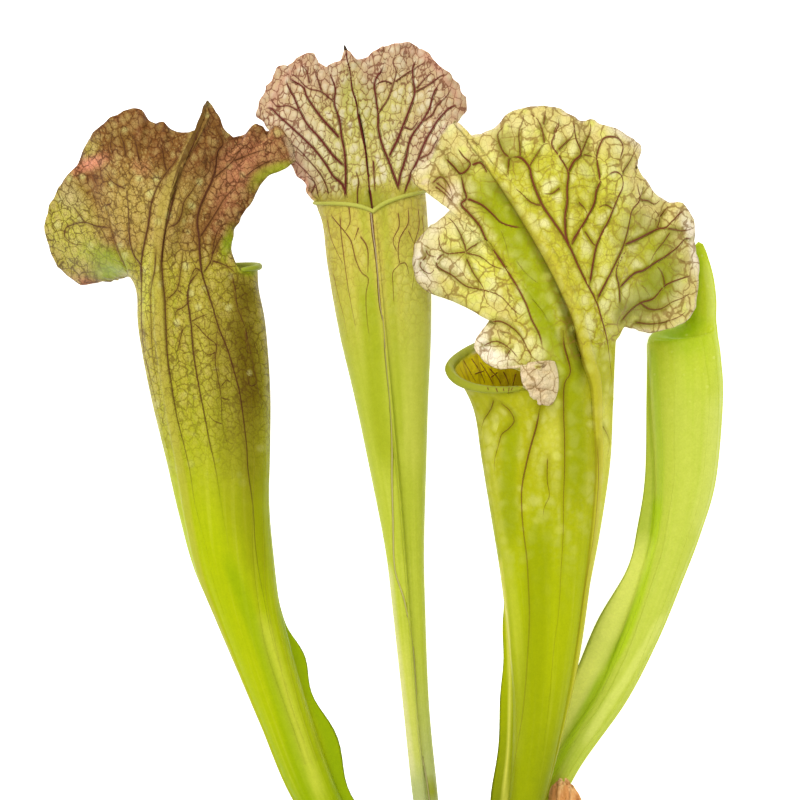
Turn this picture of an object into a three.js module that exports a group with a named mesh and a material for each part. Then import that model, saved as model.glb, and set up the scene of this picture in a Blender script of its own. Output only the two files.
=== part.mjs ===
// A trumpet pitcher plant lifted out of its soil, lying on a flat surface, in millimetres, +Z up.
// Three open pitcher leaves and one unopened leaf grow from a creeping stem with short roots.
import * as THREE from "three";
import { mergeVertices } from "three/addons/utils/BufferGeometryUtils.js";

// Driving dimensions
const WALL = 1.1; // leaf wall of an open pitcher
const LIP_ROLL = 1.5; // radius of the rolled lip
const HOOD_RISE = 10; // how far a hood follows its tube before it spreads
const SECTION_DEPTH = 0.9; // depth of a tube's section over its width
const FOOT_LENGTH = 1.2; // rounding below the lowest ring of a leaf
const FOOT_WALL = 0.4; // wall at the foot, at most this share of the foot's radius
const STRIP_END = 0.3; // rounding at the ends of a flat strip
const DRY_THICKNESS = 1.4; // dried leaf
const SCALE_THICKNESS = 1.2; // sheath scale at a leaf base
const STEM_RADIUS = 10; // creeping stem
const STEM_END = 3; // rounding at the stem's ends
const ROOT_RADIUS = 0.9;

// The outlines below are in pixels of the 800 x 800 view from above, x to the right and y down.
const MM_PER_PIXEL = 0.3;

// Steps of the meshes
const TUBE_ROWS = 17;
const NECK_COLUMNS = 10;
const LIP_COLUMNS = 5;
const WING_EDGE = 0.93; // where the wing starts, as a share of the way from midrib to seam
const HALF_HOOD_COLUMNS = 17;
const HOOD_ROWS = 8;
const LIP_ANGLES = [75, 150];
const CLOSED_COLUMNS = 16;
const STRIP_COLUMNS = 8;
const STEM_COLUMNS = 14;
const ROOT_STEPS = 12;
const ROOT_CURVE_STEPS = 6;

// Shape of a mouth, in shares of the tube's length and of the way round it
const SLANT_FROM = 0.75; // where the tube begins to slant towards its mouth
const NOTCH_FROM = 0.85; // where the notch at the seam begins
const NOTCH_WIDTH = 0.1;

// A place in the view, with its height above the surface in millimetres
function place([x, y, height]) {
  return new THREE.Vector3(x * MM_PER_PIXEL, -y * MM_PER_PIXEL, height);
}

function curveThrough(points) {
  return new THREE.CatmullRomCurve3(points, false, "centripetal");
}

// Each station of a tube, from its foot to its mouth, holds
// left x, left y, right x, right y, height of the centre, turn of the midrib in degrees, wing width.
// The turn is 0 with the midrib facing up and 90 with it facing right.
// The mouth is cut aslant: mouthDip and mouthLift are how far its upper and its lower side move down and up the tube,
// and notch is how far the rim drops at the seam, all in pixels.
const pitcherLeft = {
  name: "pitcher_left",
  color: 0x9aa32e,
  stations: [
    [386, 938, 408, 934, 13, -80, 0.5],
    [343, 873, 371, 863, 14, -80, 3.6],
    [293, 800, 335, 786, 15.5, -76, 4.8],
    [261, 725, 308, 709, 18, -74, 4.1],
    [236, 666, 291, 650, 20, -68, 2.9],
    [216, 620, 279, 602, 21.5, -60, 1],
    [194, 571, 273, 555, 23, -50, 0.5],
    [179, 517, 269, 505, 24.5, -44, 0.5],
    [166, 461, 270, 451, 26, -40, 0.5],
    [150, 393, 270, 390, 27.5, -38, 0.5],
    [139, 330, 265, 326, 29, -35, 0.4],
    [137, 294, 258, 289, 29.5, -33, 0.3],
    [131, 277, 257, 267, 30, -33, 0],
  ],
  neckAngle: 80,
  mouthDip: -2,
  mouthLift: -2,
  notch: 0,
  midrib: [[165, 253, 46], [169, 224, 47], [177, 189, 47], [187, 158, 45], [198, 133, 42]],
  tip: [209, 102, 39],
  minus: {
    edge: [[124, 277, 18], [110, 280, 10]],
    margin: [
      [97, 279, 4], [82, 283, 1.5], [69, 278, 1], [55, 264, 4], [46, 245, 8], [43, 224, 13], [47, 209, 15],
      [58, 187, 20], [71, 170, 24], [79, 161, 22], [84, 148, 24], [96, 130, 29], [115, 116, 33], [130, 110, 35],
      [142, 110, 37], [147, 119, 34], [154, 124, 34], [165, 123, 38], [172, 130, 36], [181, 133, 37],
      [200, 131, 41], [209, 121, 41],
    ],
  },
  plus: {
    edge: [
      [232, 252, 39], [232, 240, 36], [240, 219, 32], [251, 202, 29], [256, 190, 27], [268, 176, 25],
      [285, 168, 23],
    ],
    margin: [
      [295, 160, 21], [294, 149, 21], [286, 134, 24], [276, 126, 26], [268, 131, 23], [256, 124, 28],
      [244, 134, 27], [235, 137, 30], [224, 128, 36], [219, 115, 37],
    ],
  },
};

const pitcherMiddle = {
  name: "pitcher_middle",
  color: 0xc4c246,
  stations: [
    [430, 937, 446, 937, 11, 180, 0.5],
    [424, 870, 444, 870, 11, 180, 1.6],
    [413, 800, 438, 800, 11.5, 180, 2.5],
    [403, 706, 429, 706, 12, 180, 3],
    [392, 604, 425, 604, 13, 180, 3],
    [385, 548, 424, 548, 14, 180, 2.5],
    [370, 471, 426, 471, 15.5, 180, 2],
    [355, 400, 428, 400, 17, 180, 1.5],
    [339, 332, 431, 332, 18, 180, 1.2],
    [327, 265, 431, 265, 18.7, 180, 0.8],
    [322, 224, 428, 222, 19, 180, 0.5],
    [314, 202, 426, 190, 19, 180, 0],
  ],
  neckAngle: 84,
  mouthDip: 3,
  mouthLift: 3,
  notch: 13,
  midrib: [[368, 165, 4], [365, 140, 5.5], [360, 115, 8.5], [354, 89, 12.5], [348, 62, 17]],
  tip: [345, 42, 20],
  minus: {
    edge: [[432, 172, 17], [437, 158, 15], [438, 146, 14.5]],
    margin: [
      [442, 132, 14], [448, 122, 13], [456, 112, 11], [463, 109, 10], [466, 103, 10], [462, 91, 12], [456, 81, 13],
      [447, 70, 16], [435, 60, 17], [428, 50, 18], [419, 46, 15], [407, 40, 18], [397, 42, 19], [386, 44, 17],
      [379, 46, 18], [371, 53, 16], [361, 57, 17], [352, 54, 19],
    ],
  },
  plus: {
    edge: [[306, 193, 17], [303, 183, 15.5], [293, 168, 13], [283, 148, 11], [280, 133, 10]],
    margin: [
      [274, 120, 9], [257, 111, 8], [260, 100, 9], [269, 82, 11], [279, 65, 14], [288, 65, 12], [296, 57, 15],
      [308, 50, 17], [317, 61, 14], [326, 64, 15], [334, 61, 18], [342, 56, 19],
    ],
  },
};

const pitcherFront = {
  name: "pitcher_front",
  color: 0xb7bb35,
  stations: [
    [496, 937, 518, 936, 15, 60, 0.5],
    [494, 870, 524, 868, 18.5, 62, 2.5],
    [509, 800, 547, 796, 22, 66, 6],
    [513, 709, 567, 711, 26, 66, 4.8],
    [508, 640, 580, 644, 30, 62, 3.2],
    [501, 579, 590, 584, 33, 58, 1.4],
    [492, 522, 600, 530, 36, 54, 0.8],
    [482, 459, 609, 464, 39, 50, 0.5],
    [476, 415, 611, 410, 41, 46, 0.5],
    [466, 389, 612, 365, 43, 42, 0.3],
    [453, 370, 613, 332, 44, 33, 0],
  ],
  neckAngle: 47,
  mouthDip: 26,
  mouthLift: 12,
  notch: 0,
  midrib: [[572, 324, 66], [556, 288, 68], [538, 254, 68], [514, 213, 65], [491, 176, 60], [470, 145, 54]],
  tip: [454, 122, 49],
  minus: {
    edge: [[534, 378, 67.5], [540, 370, 68.5]],
    margin: [
      [543, 363, 69], [519, 367, 69], [504, 369, 67.5], [489, 365, 65], [479, 357, 62], [473, 345, 59],
      [480, 334, 56], [491, 314, 53], [481, 299, 49], [459, 289, 44], [440, 295, 41], [430, 291, 39],
      [418, 281, 38], [414, 266, 38], [416, 246, 39], [428, 229, 41], [444, 218, 44], [455, 203, 46],
      [437, 187, 41], [427, 183, 39], [413, 183, 36], [412, 175, 35], [418, 167, 36], [431, 160, 39],
      [436, 152, 41], [438, 143, 43], [446, 129, 47],
    ],
  },
  plus: {
    edge: [[622, 326, 41], [632, 328, 38], [645, 332, 35]],
    margin: [
      [660, 330, 33], [681, 324, 31], [691, 316, 30], [696, 298, 30], [698, 270, 32], [694, 242, 35],
      [694, 231, 34], [689, 214, 37], [681, 204, 40], [669, 203, 38], [656, 196, 42], [645, 183, 46],
      [636, 167, 49], [639, 149, 47], [634, 143, 49], [620, 134, 53], [603, 127, 56], [589, 122, 53],
      [579, 124, 55], [568, 118, 58], [558, 111, 57], [543, 109, 59], [525, 110, 57], [511, 114, 57],
      [503, 121, 54], [494, 131, 53], [482, 136, 54], [468, 137, 51], [461, 130, 50],
    ],
  },
};

const pitcherYoung = {
  name: "pitcher_young",
  color: 0xa9c832,
  stations: [
    [526, 938, 542, 936, 9, 90, 0.5],
    [514, 884, 534, 878, 8.5, 90, 1],
    [533, 812, 555, 822, 8.5, 90, 3],
    [558, 757, 580, 770, 8.5, 90, 6],
    [599, 693, 627, 703, 9, 90, 8.5],
    [624, 630, 659, 641, 9, 90, 8],
    [643, 573, 683, 583, 9, 90, 4.4],
    [654, 527, 702, 533, 9.4, 90, 4.4],
    [656, 476, 717, 480, 9.7, 90, 2.8],
    [652, 400, 724, 400, 10.1, 90, 1.2],
    [650, 360, 722, 358, 10.2, 90, 0.4],
    [649, 342, 719, 336, 10.2, 90, 0],
    [656, 333, 718, 327, 10.6, 90, 0],
    [684, 322, 717, 318, 11.5, 90, 0],
    [682, 300, 717, 298, 12, 90, 0],
    [686, 275, 714, 275, 12, 90, 0],
    [692, 256, 708, 254, 12, 90, 0],
    [696, 245, 704, 244, 12, 90, 0],
  ],
};

// Strips hold left x, left y, right x, right y and height, from the foot to the tip.
const driedLeaf = {
  name: "dried_leaf",
  color: 0xb8803f,
  thickness: DRY_THICKNESS,
  stations: [
    [549, 938, 559, 937, 12],
    [548, 890, 568, 888, 15],
    [549, 840, 578, 838, 16.5],
    [549, 802, 582, 804, 17],
    [552, 788, 576, 790, 16.5],
    [560, 782, 568, 783, 16],
  ],
};

const baseScales = [
  { stations: [[409, 939, 421, 939, 18], [406, 918, 422, 919, 20], [411, 900, 418, 901, 20]] },
  { stations: [[452, 939, 470, 939, 18.5], [450, 914, 468, 914, 20.5], [456, 890, 462, 890, 20.5]] },
  { stations: [[473, 939, 489, 939, 17.5], [474, 910, 488, 910, 19.5], [479, 884, 484, 884, 19]] },
  { stations: [[562, 939, 574, 939, 12], [563, 916, 576, 914, 13.5], [570, 896, 576, 895, 13.5]] },
];

const stemPoints = [[386, 975, 10], [430, 977, 10], [480, 973, 10], [530, 976, 10], [574, 972, 10]];
const stemSwell = [0.62, 0.98, 0.92, 1, 0.9, 0.98, 0.6]; // shares of its radius along the stem

const rootPaths = [
  [[400, 1003, 7], [385, 1032, 3], [360, 1060, 1], [352, 1100, 1]],
  [[425, 1010, 7], [420, 1050, 2.5], [402, 1085, 1], [398, 1130, 1]],
  [[450, 1010, 7], [452, 1045, 2.5], [440, 1090, 1], [446, 1145, 1]],
  [[480, 1008, 7], [484, 1050, 2.5], [478, 1095, 1], [492, 1150, 1]],
  [[507, 1009, 7], [516, 1045, 2.5], [522, 1090, 1], [540, 1130, 1]],
  [[533, 1010, 7], [548, 1045, 2.5], [568, 1078, 1], [574, 1118, 1]],
  [[556, 1004, 7], [582, 1028, 3], [606, 1050, 1], [636, 1085, 1]],
];

// A value list between two stations, on a Catmull-Rom line through them
function stationAt(stations, share) {
  const at = share * (stations.length - 1);
  const i = Math.min(Math.floor(at), stations.length - 2);
  const f = at - i;
  const pick = (n) => stations[Math.min(Math.max(n, 0), stations.length - 1)];
  const [a, b, c, d] = [pick(i - 1), pick(i), pick(i + 1), pick(i + 2)];
  return b.map((_, k) => {
    const slopeB = (c[k] - a[k]) / 2;
    const slopeC = (d[k] - b[k]) / 2;
    const rise = c[k] - b[k];
    return b[k] + f * (slopeB + f * (3 * rise - 2 * slopeB - slopeC + f * (slopeB + slopeC - 2 * rise)));
  });
}

// Centre, half width, section axes, turn and wing of a tube's ring
function ringAt(stations, share) {
  const [xl, yl, xr, yr, height, turn, wing = 0] = stationAt(stations, share);
  const left = place([xl, yl, height]);
  const right = place([xr, yr, height]);
  const centre = left.clone().add(right).multiplyScalar(0.5);
  const across = right.clone().sub(left).normalize();
  const step = 0.01;
  const ahead = stationAt(stations, Math.min(share + step, 1));
  const behind = stationAt(stations, Math.max(share - step, 0));
  const middle = (s) => place([(s[0] + s[2]) / 2, (s[1] + s[3]) / 2, s[4]]);
  const along = middle(ahead).sub(middle(behind)).normalize();
  const up = new THREE.Vector3().crossVectors(across, along).normalize();
  const halfWidth = right.distanceTo(left) / 2;
  return { centre, across, along, up, halfWidth, turn: THREE.MathUtils.degToRad(turn), wing };
}

// A point of a ring: side 0 is the midrib, -1 and 1 are the seam opposite to it
function onRing(ring, side) {
  const angle = ring.turn + side * Math.PI;
  return ring.centre
    .clone()
    .addScaledVector(ring.across, ring.halfWidth * Math.sin(angle))
    .addScaledVector(ring.up, ring.halfWidth * SECTION_DEPTH * Math.cos(angle));
}

function seamDirection(ring) {
  const angle = ring.turn + Math.PI;
  return ring.across.clone().multiplyScalar(Math.sin(angle)).addScaledVector(ring.up, Math.cos(angle));
}

// A surface that is built row by row; a row lists its points' numbers and their places along it
class Sheet {
  points = [];
  triangles = [];
  addPoint(point) {
    return this.points.push(point) - 1;
  }
  addTriangle(a, b, c) {
    if (a !== b && b !== c && c !== a) this.triangles.push([a, b, c]);
  }
  // Triangles between a lower and an upper row that run the same way
  join(lower, upper) {
    let i = 0;
    let j = 0;
    while (i < lower.length - 1 || j < upper.length - 1) {
      const nextLower = i < lower.length - 1 ? lower[i + 1].at : Infinity;
      const nextUpper = j < upper.length - 1 ? upper[j + 1].at : Infinity;
      if (nextLower <= nextUpper + 1e-9) {
        this.addTriangle(lower[i].id, lower[i + 1].id, upper[j].id);
        i += 1;
      } else {
        this.addTriangle(lower[i].id, upper[j + 1].id, upper[j].id);
        j += 1;
      }
    }
  }
  fan(row, tip) {
    for (let i = 0; i < row.length - 1; i += 1) this.addTriangle(row[i + 1].id, row[i].id, tip);
  }
  normals() {
    const sums = this.points.map(() => new THREE.Vector3());
    for (const [a, b, c] of this.triangles) {
      const [pa, pb, pc] = [this.points[a], this.points[b], this.points[c]];
      const n = new THREE.Vector3().crossVectors(pb.clone().sub(pa), pc.clone().sub(pa));
      for (const k of [a, b, c]) sums[k].add(n);
    }
    return sums.map((n) => n.normalize());
  }
  // A second skin below the first, at each point's own thickness, joined to it along the free edges
  thicken(thicknessOf) {
    const normals = this.normals();
    const count = this.points.length;
    const skin = [...this.triangles];
    const inner = this.points.map((p, k) => p.clone().addScaledVector(normals[k], -thicknessOf(k)));
    const edges = new Set(skin.flatMap(([a, b, c]) => [`${a},${b}`, `${b},${c}`, `${c},${a}`]));
    this.points.push(...inner);
    for (const [a, b, c] of skin) this.addTriangle(a + count, c + count, b + count);
    for (const edge of edges) {
      const [a, b] = edge.split(",").map(Number);
      if (edges.has(`${b},${a}`)) continue;
      this.addTriangle(b, a, a + count);
      this.addTriangle(b, a + count, b + count);
    }
  }
  geometry() {
    const made = new THREE.BufferGeometry();
    made.setAttribute("position", new THREE.Float32BufferAttribute(this.points.flatMap((p) => p.toArray()), 3));
    made.setIndex(this.triangles.flat());
    return made;
  }
}

function evenly(from, to, count) {
  return Array.from({ length: count + 1 }, (_, i) => from + ((to - from) * i) / count);
}

// Half of a hood, spread between the neck, the midrib, the margin and the edge beside the mouth
function halfHood(neckPoint, rise, midrib, half, tip) {
  const base = neckPoint(0);
  const corner = neckPoint(1);
  const first = place(half.margin[0]);
  const edge = curveThrough([corner, ...half.edge.map(place), first]);
  const margin = curveThrough([...half.margin.map(place), tip]);
  return (u, v) => {
    const neck = neckPoint(u);
    const rim = margin.getPointAt(1 - u);
    const point = neck.clone().multiplyScalar(1 - v).addScaledVector(rim, v);
    point.addScaledVector(midrib.getPointAt(v), 1 - u).addScaledVector(edge.getPointAt(v), u);
    point.addScaledVector(base, -(1 - u) * (1 - v)).addScaledVector(tip, -(1 - u) * v);
    point.addScaledVector(corner, -u * (1 - v)).addScaledVector(first, -u * v);
    return point.addScaledVector(rise, v * (1 - v) ** 2 * (1 - u ** 4));
  };
}

function openPitcher(leaf) {
  const sheet = new Sheet();
  const neckSide = leaf.neckAngle / 180;
  const sides = [
    -1,
    -WING_EDGE,
    ...evenly(-WING_EDGE, -neckSide, LIP_COLUMNS).slice(1),
    ...evenly(-neckSide, neckSide, NECK_COLUMNS).slice(1),
    ...evenly(neckSide, WING_EDGE, LIP_COLUMNS).slice(1),
    1,
  ];
  const wingPoints = [];
  const dipped = (ring, side, share) => {
    const near = Math.max(0, (share - SLANT_FROM) / (1 - SLANT_FROM)) ** 2;
    const slant = near * Math.cos(ring.turn + side * Math.PI);
    const fromSeam = Math.abs(Math.abs(side) - 1);
    const notch = THREE.MathUtils.smoothstep(share, NOTCH_FROM, 1) * Math.exp(-fromSeam / NOTCH_WIDTH);
    const drop = (slant > 0 ? leaf.mouthDip : leaf.mouthLift) * slant + notch * leaf.notch;
    return onRing(ring, side).addScaledVector(ring.along, -drop * MM_PER_PIXEL);
  };
  const ringRow = (share) => {
    const ring = ringAt(leaf.stations, share);
    const row = sides.slice(0, -1).map((at) => ({ at, id: sheet.addPoint(dipped(ring, at, share)) }));
    row.push({ at: 1, id: row[0].id });
    if (ring.wing > 0) wingPoints.push([row[0].id, seamDirection(ring).multiplyScalar(ring.wing)]);
    return row;
  };
  const rows = evenly(0, 1, TUBE_ROWS).map(ringRow);
  const foot = ringAt(leaf.stations, 0);
  const footTip = sheet.addPoint(foot.centre.clone().addScaledVector(foot.along, -FOOT_LENGTH));
  sheet.fan(rows[0], footTip);

  // The mouth's ring takes extra points along the neck, for the finer hood
  const mouthRing = ringAt(leaf.stations, 1);
  const mouthRow = rows.at(-1);
  const neckAt = (side) => dipped(mouthRing, side, 1);
  const neckSides = evenly(-neckSide, neckSide, 2 * HALF_HOOD_COLUMNS);
  const cornerMinus = mouthRow.find((p) => Math.abs(p.at + neckSide) < 1e-9);
  const cornerPlus = mouthRow.find((p) => Math.abs(p.at - neckSide) < 1e-9);
  const neckRow = neckSides.map((at, i) => {
    if (i === 0) return { at, id: cornerMinus.id };
    if (i === neckSides.length - 1) return { at, id: cornerPlus.id };
    return { at, id: sheet.addPoint(neckAt(at)) };
  });
  const lipMinus = mouthRow.filter((p) => p.at < -neckSide + 1e-9);
  const lipPlus = mouthRow.filter((p) => p.at > neckSide - 1e-9);
  const fullMouth = [...lipMinus, ...neckRow.slice(1, -1), ...lipPlus];
  for (let i = 0; i < rows.length - 2; i += 1) sheet.join(rows[i], rows[i + 1]);
  sheet.join(rows.at(-2), fullMouth);

  // Rolled lip, from one corner round the seam to the other
  const lipRing = [...lipPlus, ...lipMinus.slice(1).map((p) => ({ at: p.at + 2, id: p.id }))];
  let below = lipRing;
  for (const degrees of LIP_ANGLES) {
    const angle = THREE.MathUtils.degToRad(degrees);
    const row = lipRing.map((p, i) => {
      if (i === 0 || i === lipRing.length - 1) return p;
      const fade = Math.sin((Math.PI * i) / (lipRing.length - 1)) ** 0.4;
      const onLip = neckAt(p.at);
      const out = onLip.clone().sub(mouthRing.centre).projectOnPlane(mouthRing.along).normalize();
      onLip.addScaledVector(out, LIP_ROLL * fade * (1 - Math.cos(angle)));
      onLip.addScaledVector(mouthRing.along, LIP_ROLL * fade * Math.sin(angle));
      return { at: p.at, id: sheet.addPoint(onLip) };
    });
    sheet.join(below, row);
    below = row;
  }

  // Hood, as two halves that meet on the midrib
  const tip = place(leaf.tip);
  const midrib = curveThrough([neckAt(0), ...leaf.midrib.map(place), tip]);
  const rise = mouthRing.along.clone().multiplyScalar(HOOD_RISE);
  const minus = halfHood((u) => neckAt(-u * neckSide), rise, midrib, leaf.minus, tip);
  const plus = halfHood((u) => neckAt(u * neckSide), rise, midrib, leaf.plus, tip);
  let last = neckRow;
  for (let k = 1; k <= HOOD_ROWS; k += 1) {
    const v = k / HOOD_ROWS;
    const row = neckSides.map((at) => {
      const u = at / neckSide;
      const point = u < 0 ? minus(-u, v) : plus(u, v);
      return { at, id: sheet.addPoint(point) };
    });
    sheet.join(last, row);
    last = row;
  }

  const narrow = foot.halfWidth * SECTION_DEPTH * FOOT_WALL;
  const inFoot = (k) => k === footTip || rows[0].some((p) => p.id === k);
  sheet.thicken((k) => (inFoot(k) ? Math.min(WALL, narrow) : WALL));
  for (const [id, shift] of wingPoints) sheet.points[id].add(shift);
  return sheet.geometry();
}

// A closed leaf: rings from foot to tip, filled
function closedPitcher(leaf) {
  const sheet = new Sheet();
  const sides = [-1, -WING_EDGE, ...evenly(-WING_EDGE, WING_EDGE, CLOSED_COLUMNS).slice(1), 1];
  const rowCount = 2 * (leaf.stations.length - 1);
  const rows = evenly(0, 1, rowCount).map((share) => {
    const ring = ringAt(leaf.stations, share);
    const row = sides.slice(0, -1).map((at) => ({ at, id: sheet.addPoint(onRing(ring, at)) }));
    row.push({ at: 1, id: row[0].id });
    sheet.points[row[0].id].addScaledVector(seamDirection(ring), Math.max(ring.wing, 0));
    return row;
  });
  for (let i = 0; i < rows.length - 1; i += 1) sheet.join(rows[i], rows[i + 1]);
  const foot = ringAt(leaf.stations, 0);
  const top = ringAt(leaf.stations, 1);
  sheet.fan(rows[0], sheet.addPoint(foot.centre.clone().addScaledVector(foot.along, -FOOT_LENGTH)));
  sheet.fan([...rows.at(-1)].reverse(), sheet.addPoint(top.centre.clone().addScaledVector(top.along, FOOT_LENGTH)));
  return sheet.geometry();
}

// A flat strip with a lens-shaped section
function strip(leaf) {
  const sheet = new Sheet();
  const sides = evenly(-1, 1, STRIP_COLUMNS);
  const stations = leaf.stations.map(([xl, yl, xr, yr, height]) => [xl, yl, xr, yr, height, 0]);
  const rows = evenly(0, 1, 2 * (stations.length - 1)).map((share) => {
    const ring = ringAt(stations, share);
    const row = sides.slice(0, -1).map((at) => {
      const angle = at * Math.PI;
      const point = ring.centre.clone().addScaledVector(ring.across, ring.halfWidth * Math.sin(angle));
      return { at, id: sheet.addPoint(point.addScaledVector(ring.up, (leaf.thickness / 2) * Math.cos(angle))) };
    });
    row.push({ at: 1, id: row[0].id });
    return row;
  });
  for (let i = 0; i < rows.length - 1; i += 1) sheet.join(rows[i], rows[i + 1]);
  const foot = ringAt(stations, 0);
  const top = ringAt(stations, 1);
  sheet.fan(rows[0], sheet.addPoint(foot.centre.clone().addScaledVector(foot.along, -STRIP_END)));
  sheet.fan([...rows.at(-1)].reverse(), sheet.addPoint(top.centre.clone().addScaledVector(top.along, STRIP_END)));
  return sheet.geometry();
}

// The creeping stem: rings of changing size along a line from left to right
function creepingStem() {
  const sheet = new Sheet();
  const line = curveThrough(stemPoints.map(place));
  const turns = evenly(-1, 1, STEM_COLUMNS);
  const rows = stemSwell.map((swell, i) => {
    const centre = line.getPointAt(i / (stemSwell.length - 1));
    const row = turns.slice(0, -1).map((at) => {
      const angle = at * Math.PI;
      const radius = STEM_RADIUS * swell;
      const point = centre.clone().add(new THREE.Vector3(0, radius * Math.cos(angle), radius * Math.sin(angle)));
      return { at, id: sheet.addPoint(point) };
    });
    row.push({ at: 1, id: row[0].id });
    return row;
  });
  for (let i = 0; i < rows.length - 1; i += 1) sheet.join(rows[i], rows[i + 1]);
  const end = new THREE.Vector3(STEM_END, 0, 0);
  sheet.fan(rows[0], sheet.addPoint(line.getPointAt(0).sub(end)));
  sheet.fan([...rows.at(-1)].reverse(), sheet.addPoint(line.getPointAt(1).add(end)));
  return sheet.geometry();
}

function root(path) {
  const section = new THREE.Shape();
  section.absarc(0, 0, ROOT_RADIUS, 0, 2 * Math.PI, false);
  const made = new THREE.ExtrudeGeometry(section, {
    steps: ROOT_STEPS,
    curveSegments: ROOT_CURVE_STEPS,
    extrudePath: curveThrough(path.map(place)),
  });
  made.deleteAttribute("normal");
  made.deleteAttribute("uv");
  return mergeVertices(made, 1e-4);
}

const plant = new THREE.Group();

function add(name, geometry, color, roughness) {
  const mesh = new THREE.Mesh(geometry, new THREE.MeshStandardMaterial({ color, roughness, metalness: 0 }));
  mesh.name = name;
  plant.add(mesh);
}

for (const leaf of [pitcherLeft, pitcherMiddle, pitcherFront]) add(leaf.name, openPitcher(leaf), leaf.color, 0.45);
add(pitcherYoung.name, closedPitcher(pitcherYoung), pitcherYoung.color, 0.4);
add(driedLeaf.name, strip(driedLeaf), driedLeaf.color, 0.8);
baseScales.forEach((scale, i) => {
  add(`base_scale_${i + 1}`, strip({ thickness: SCALE_THICKNESS, ...scale }), 0x7a4a2a, 0.8);
});
add("rhizome", creepingStem(), 0x6b4a30, 0.85);
rootPaths.forEach((path, i) => add(`root_${i + 1}`, root(path), 0x8a6a48, 0.85));

// The origin is below the middle of the whole plant, on the surface that it lies on
const box = new THREE.Box3().setFromObject(plant);
const middle = box.getCenter(new THREE.Vector3());
plant.position.set(-middle.x, -middle.y, -box.min.z);

export default plant;
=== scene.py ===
"""A trumpet pitcher plant lifted out of its soil and laid down, seen from above.

Laid out as an add-on: sizes and colours are properties, each piece has an operator, and main() runs them all.
"""

import math
from types import SimpleNamespace

import bpy
import numpy as np
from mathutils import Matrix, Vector, noise
from mathutils.bvhtree import BVHTree
from mathutils.interpolate import poly_3d_calc
from mathutils.kdtree import KDTree


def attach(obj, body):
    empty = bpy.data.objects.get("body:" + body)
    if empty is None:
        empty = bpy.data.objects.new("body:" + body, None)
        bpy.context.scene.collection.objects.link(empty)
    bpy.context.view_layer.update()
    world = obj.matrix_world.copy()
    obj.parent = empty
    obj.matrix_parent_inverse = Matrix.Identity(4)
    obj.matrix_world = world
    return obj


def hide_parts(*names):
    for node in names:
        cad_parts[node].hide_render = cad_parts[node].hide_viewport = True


bl_info = {
    "name": "Pitcher Plant",
    "version": (1, 0, 0),
    "blender": (4, 5, 0),
    "location": "View3D > Sidebar > Pitcher Plant",
    "description": "Grows a lifted trumpet pitcher plant, leaf by leaf, around its solid frame",
    "category": "Object",
}

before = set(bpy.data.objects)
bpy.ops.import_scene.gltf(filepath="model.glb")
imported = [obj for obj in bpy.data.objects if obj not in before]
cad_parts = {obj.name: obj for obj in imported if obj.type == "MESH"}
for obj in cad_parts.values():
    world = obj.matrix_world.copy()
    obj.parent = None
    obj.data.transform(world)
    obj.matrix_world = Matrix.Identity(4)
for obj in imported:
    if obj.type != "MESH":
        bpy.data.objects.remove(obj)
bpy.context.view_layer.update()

MM = 0.001  # metres in a millimetre

# The outlines are in pixels of the 800 x 800 view from above, x to the right and y down. Heights are in mm.
VIEW_PIXELS = 800
MM_PER_PIXEL = 0.3
VIEW_CORNER = np.array([-115.065, 178.609, 0.086])  # the view's upper left corner in the plant's frame

# Steps of the leaf meshes
TUBE_ROWS = 106
NECK_COLUMNS = 56
LIP_COLUMNS = 34
FIN_COLUMNS = 6
LIP_ROWS = 12
HALF_HOOD_COLUMNS = 116
HOOD_ROWS = 54
HALF_YOUNG_COLUMNS = 48
FRILL_ROWS = 70
FRILL_COLUMNS = 40

# Shape of the leaves
FIN_START = 0.97  # share of the half section where the wing begins
FIN_LEAST = 0.3  # mm of wing below which the section keeps its round shape
FOOT_LENGTH = 1.2  # mm, from a tube's first ring to its closed end
FOOT_WALL = 0.35  # share of the foot's half width that its wall may take up
SLANT_FROM = 0.75  # share of the tube above which its rings slant towards the mouth
NOTCH_FROM = 0.85  # share of the tube above which the notch cuts in
NOTCH_WIDTH = 0.1  # share of the half section over which a notch in the lip fades
LIP_TURN = 300  # degrees that the lip rolls outwards
LIP_FULLNESS = 0.45  # 0 keeps the lip's full size to its ends, and 1 slims it evenly towards them
MARGIN_WIDTH = 6  # mm of the hood's margin that is ruffled
MARGIN_RUFFLES = 0.33  # ruffles per mm
RUFFLE_SEED = 72  # keeps the ruffles the same in each run
CALM_TIMES = 120  # rounds that smooth the margin's waves away, for the hood's inner rows
RELAX_TIMES = 60  # rounds of easing where the tube meets the hood
RELAX_ABOVE = (3, 14)  # mm above the neck over which the easing fades
RELAX_BELOW = (-12, -2)  # mm below the neck over which it grows
RELAX_SIDES = (0.7, 0.95)  # shares of the neck over which it fades
CROWN_TIMES = 24  # rounds in which the hood's colours are spread down the tube
CROWN_REACH = (8, 12)  # mm from the neck over which that spreading fades
BAND_EDGE = (-0.3, 0.5)  # mm across which the band beside the midrib rises
BAND_END = (0.75, 1.25)  # shares of its width across which it falls again
BAND_FADE = (30, 70)  # mm up the hood over which the band sinks
BAND_SUNK = 0.6  # share of its height that it loses there
BAND_START = 60  # mm over which it rises out of the tube
VALLEY_START = (-40, 10)  # mm over which the channel beside it deepens
SWELL_WIDTH = 1.7  # mm from a vein at which the swelling between the veins is near its full height
SWELL_START = (-60, 0)  # mm over which the swelling grows up the tube
FRILL_CROWN = 1.6  # mm that the middle of the frill stands up
# The frill's folds: mm high, radians along it and out from its root, and the share of its width over which
# they rise
FRILL_FOLDS = [(0.9, 17, 4, 0.5), (0.4, 5, 11, 0.3), (0.35, 41, -9, 0.3)]
FRILL_PLACE = {"hood": 1, "along": 40, "side": 0.3}  # measures of the skin around the frill
FRILL_TONES = {"cream": 0.35, "flush": 0.4}
FAR = 99.0  # mm, a measure's value where nothing is near

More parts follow.
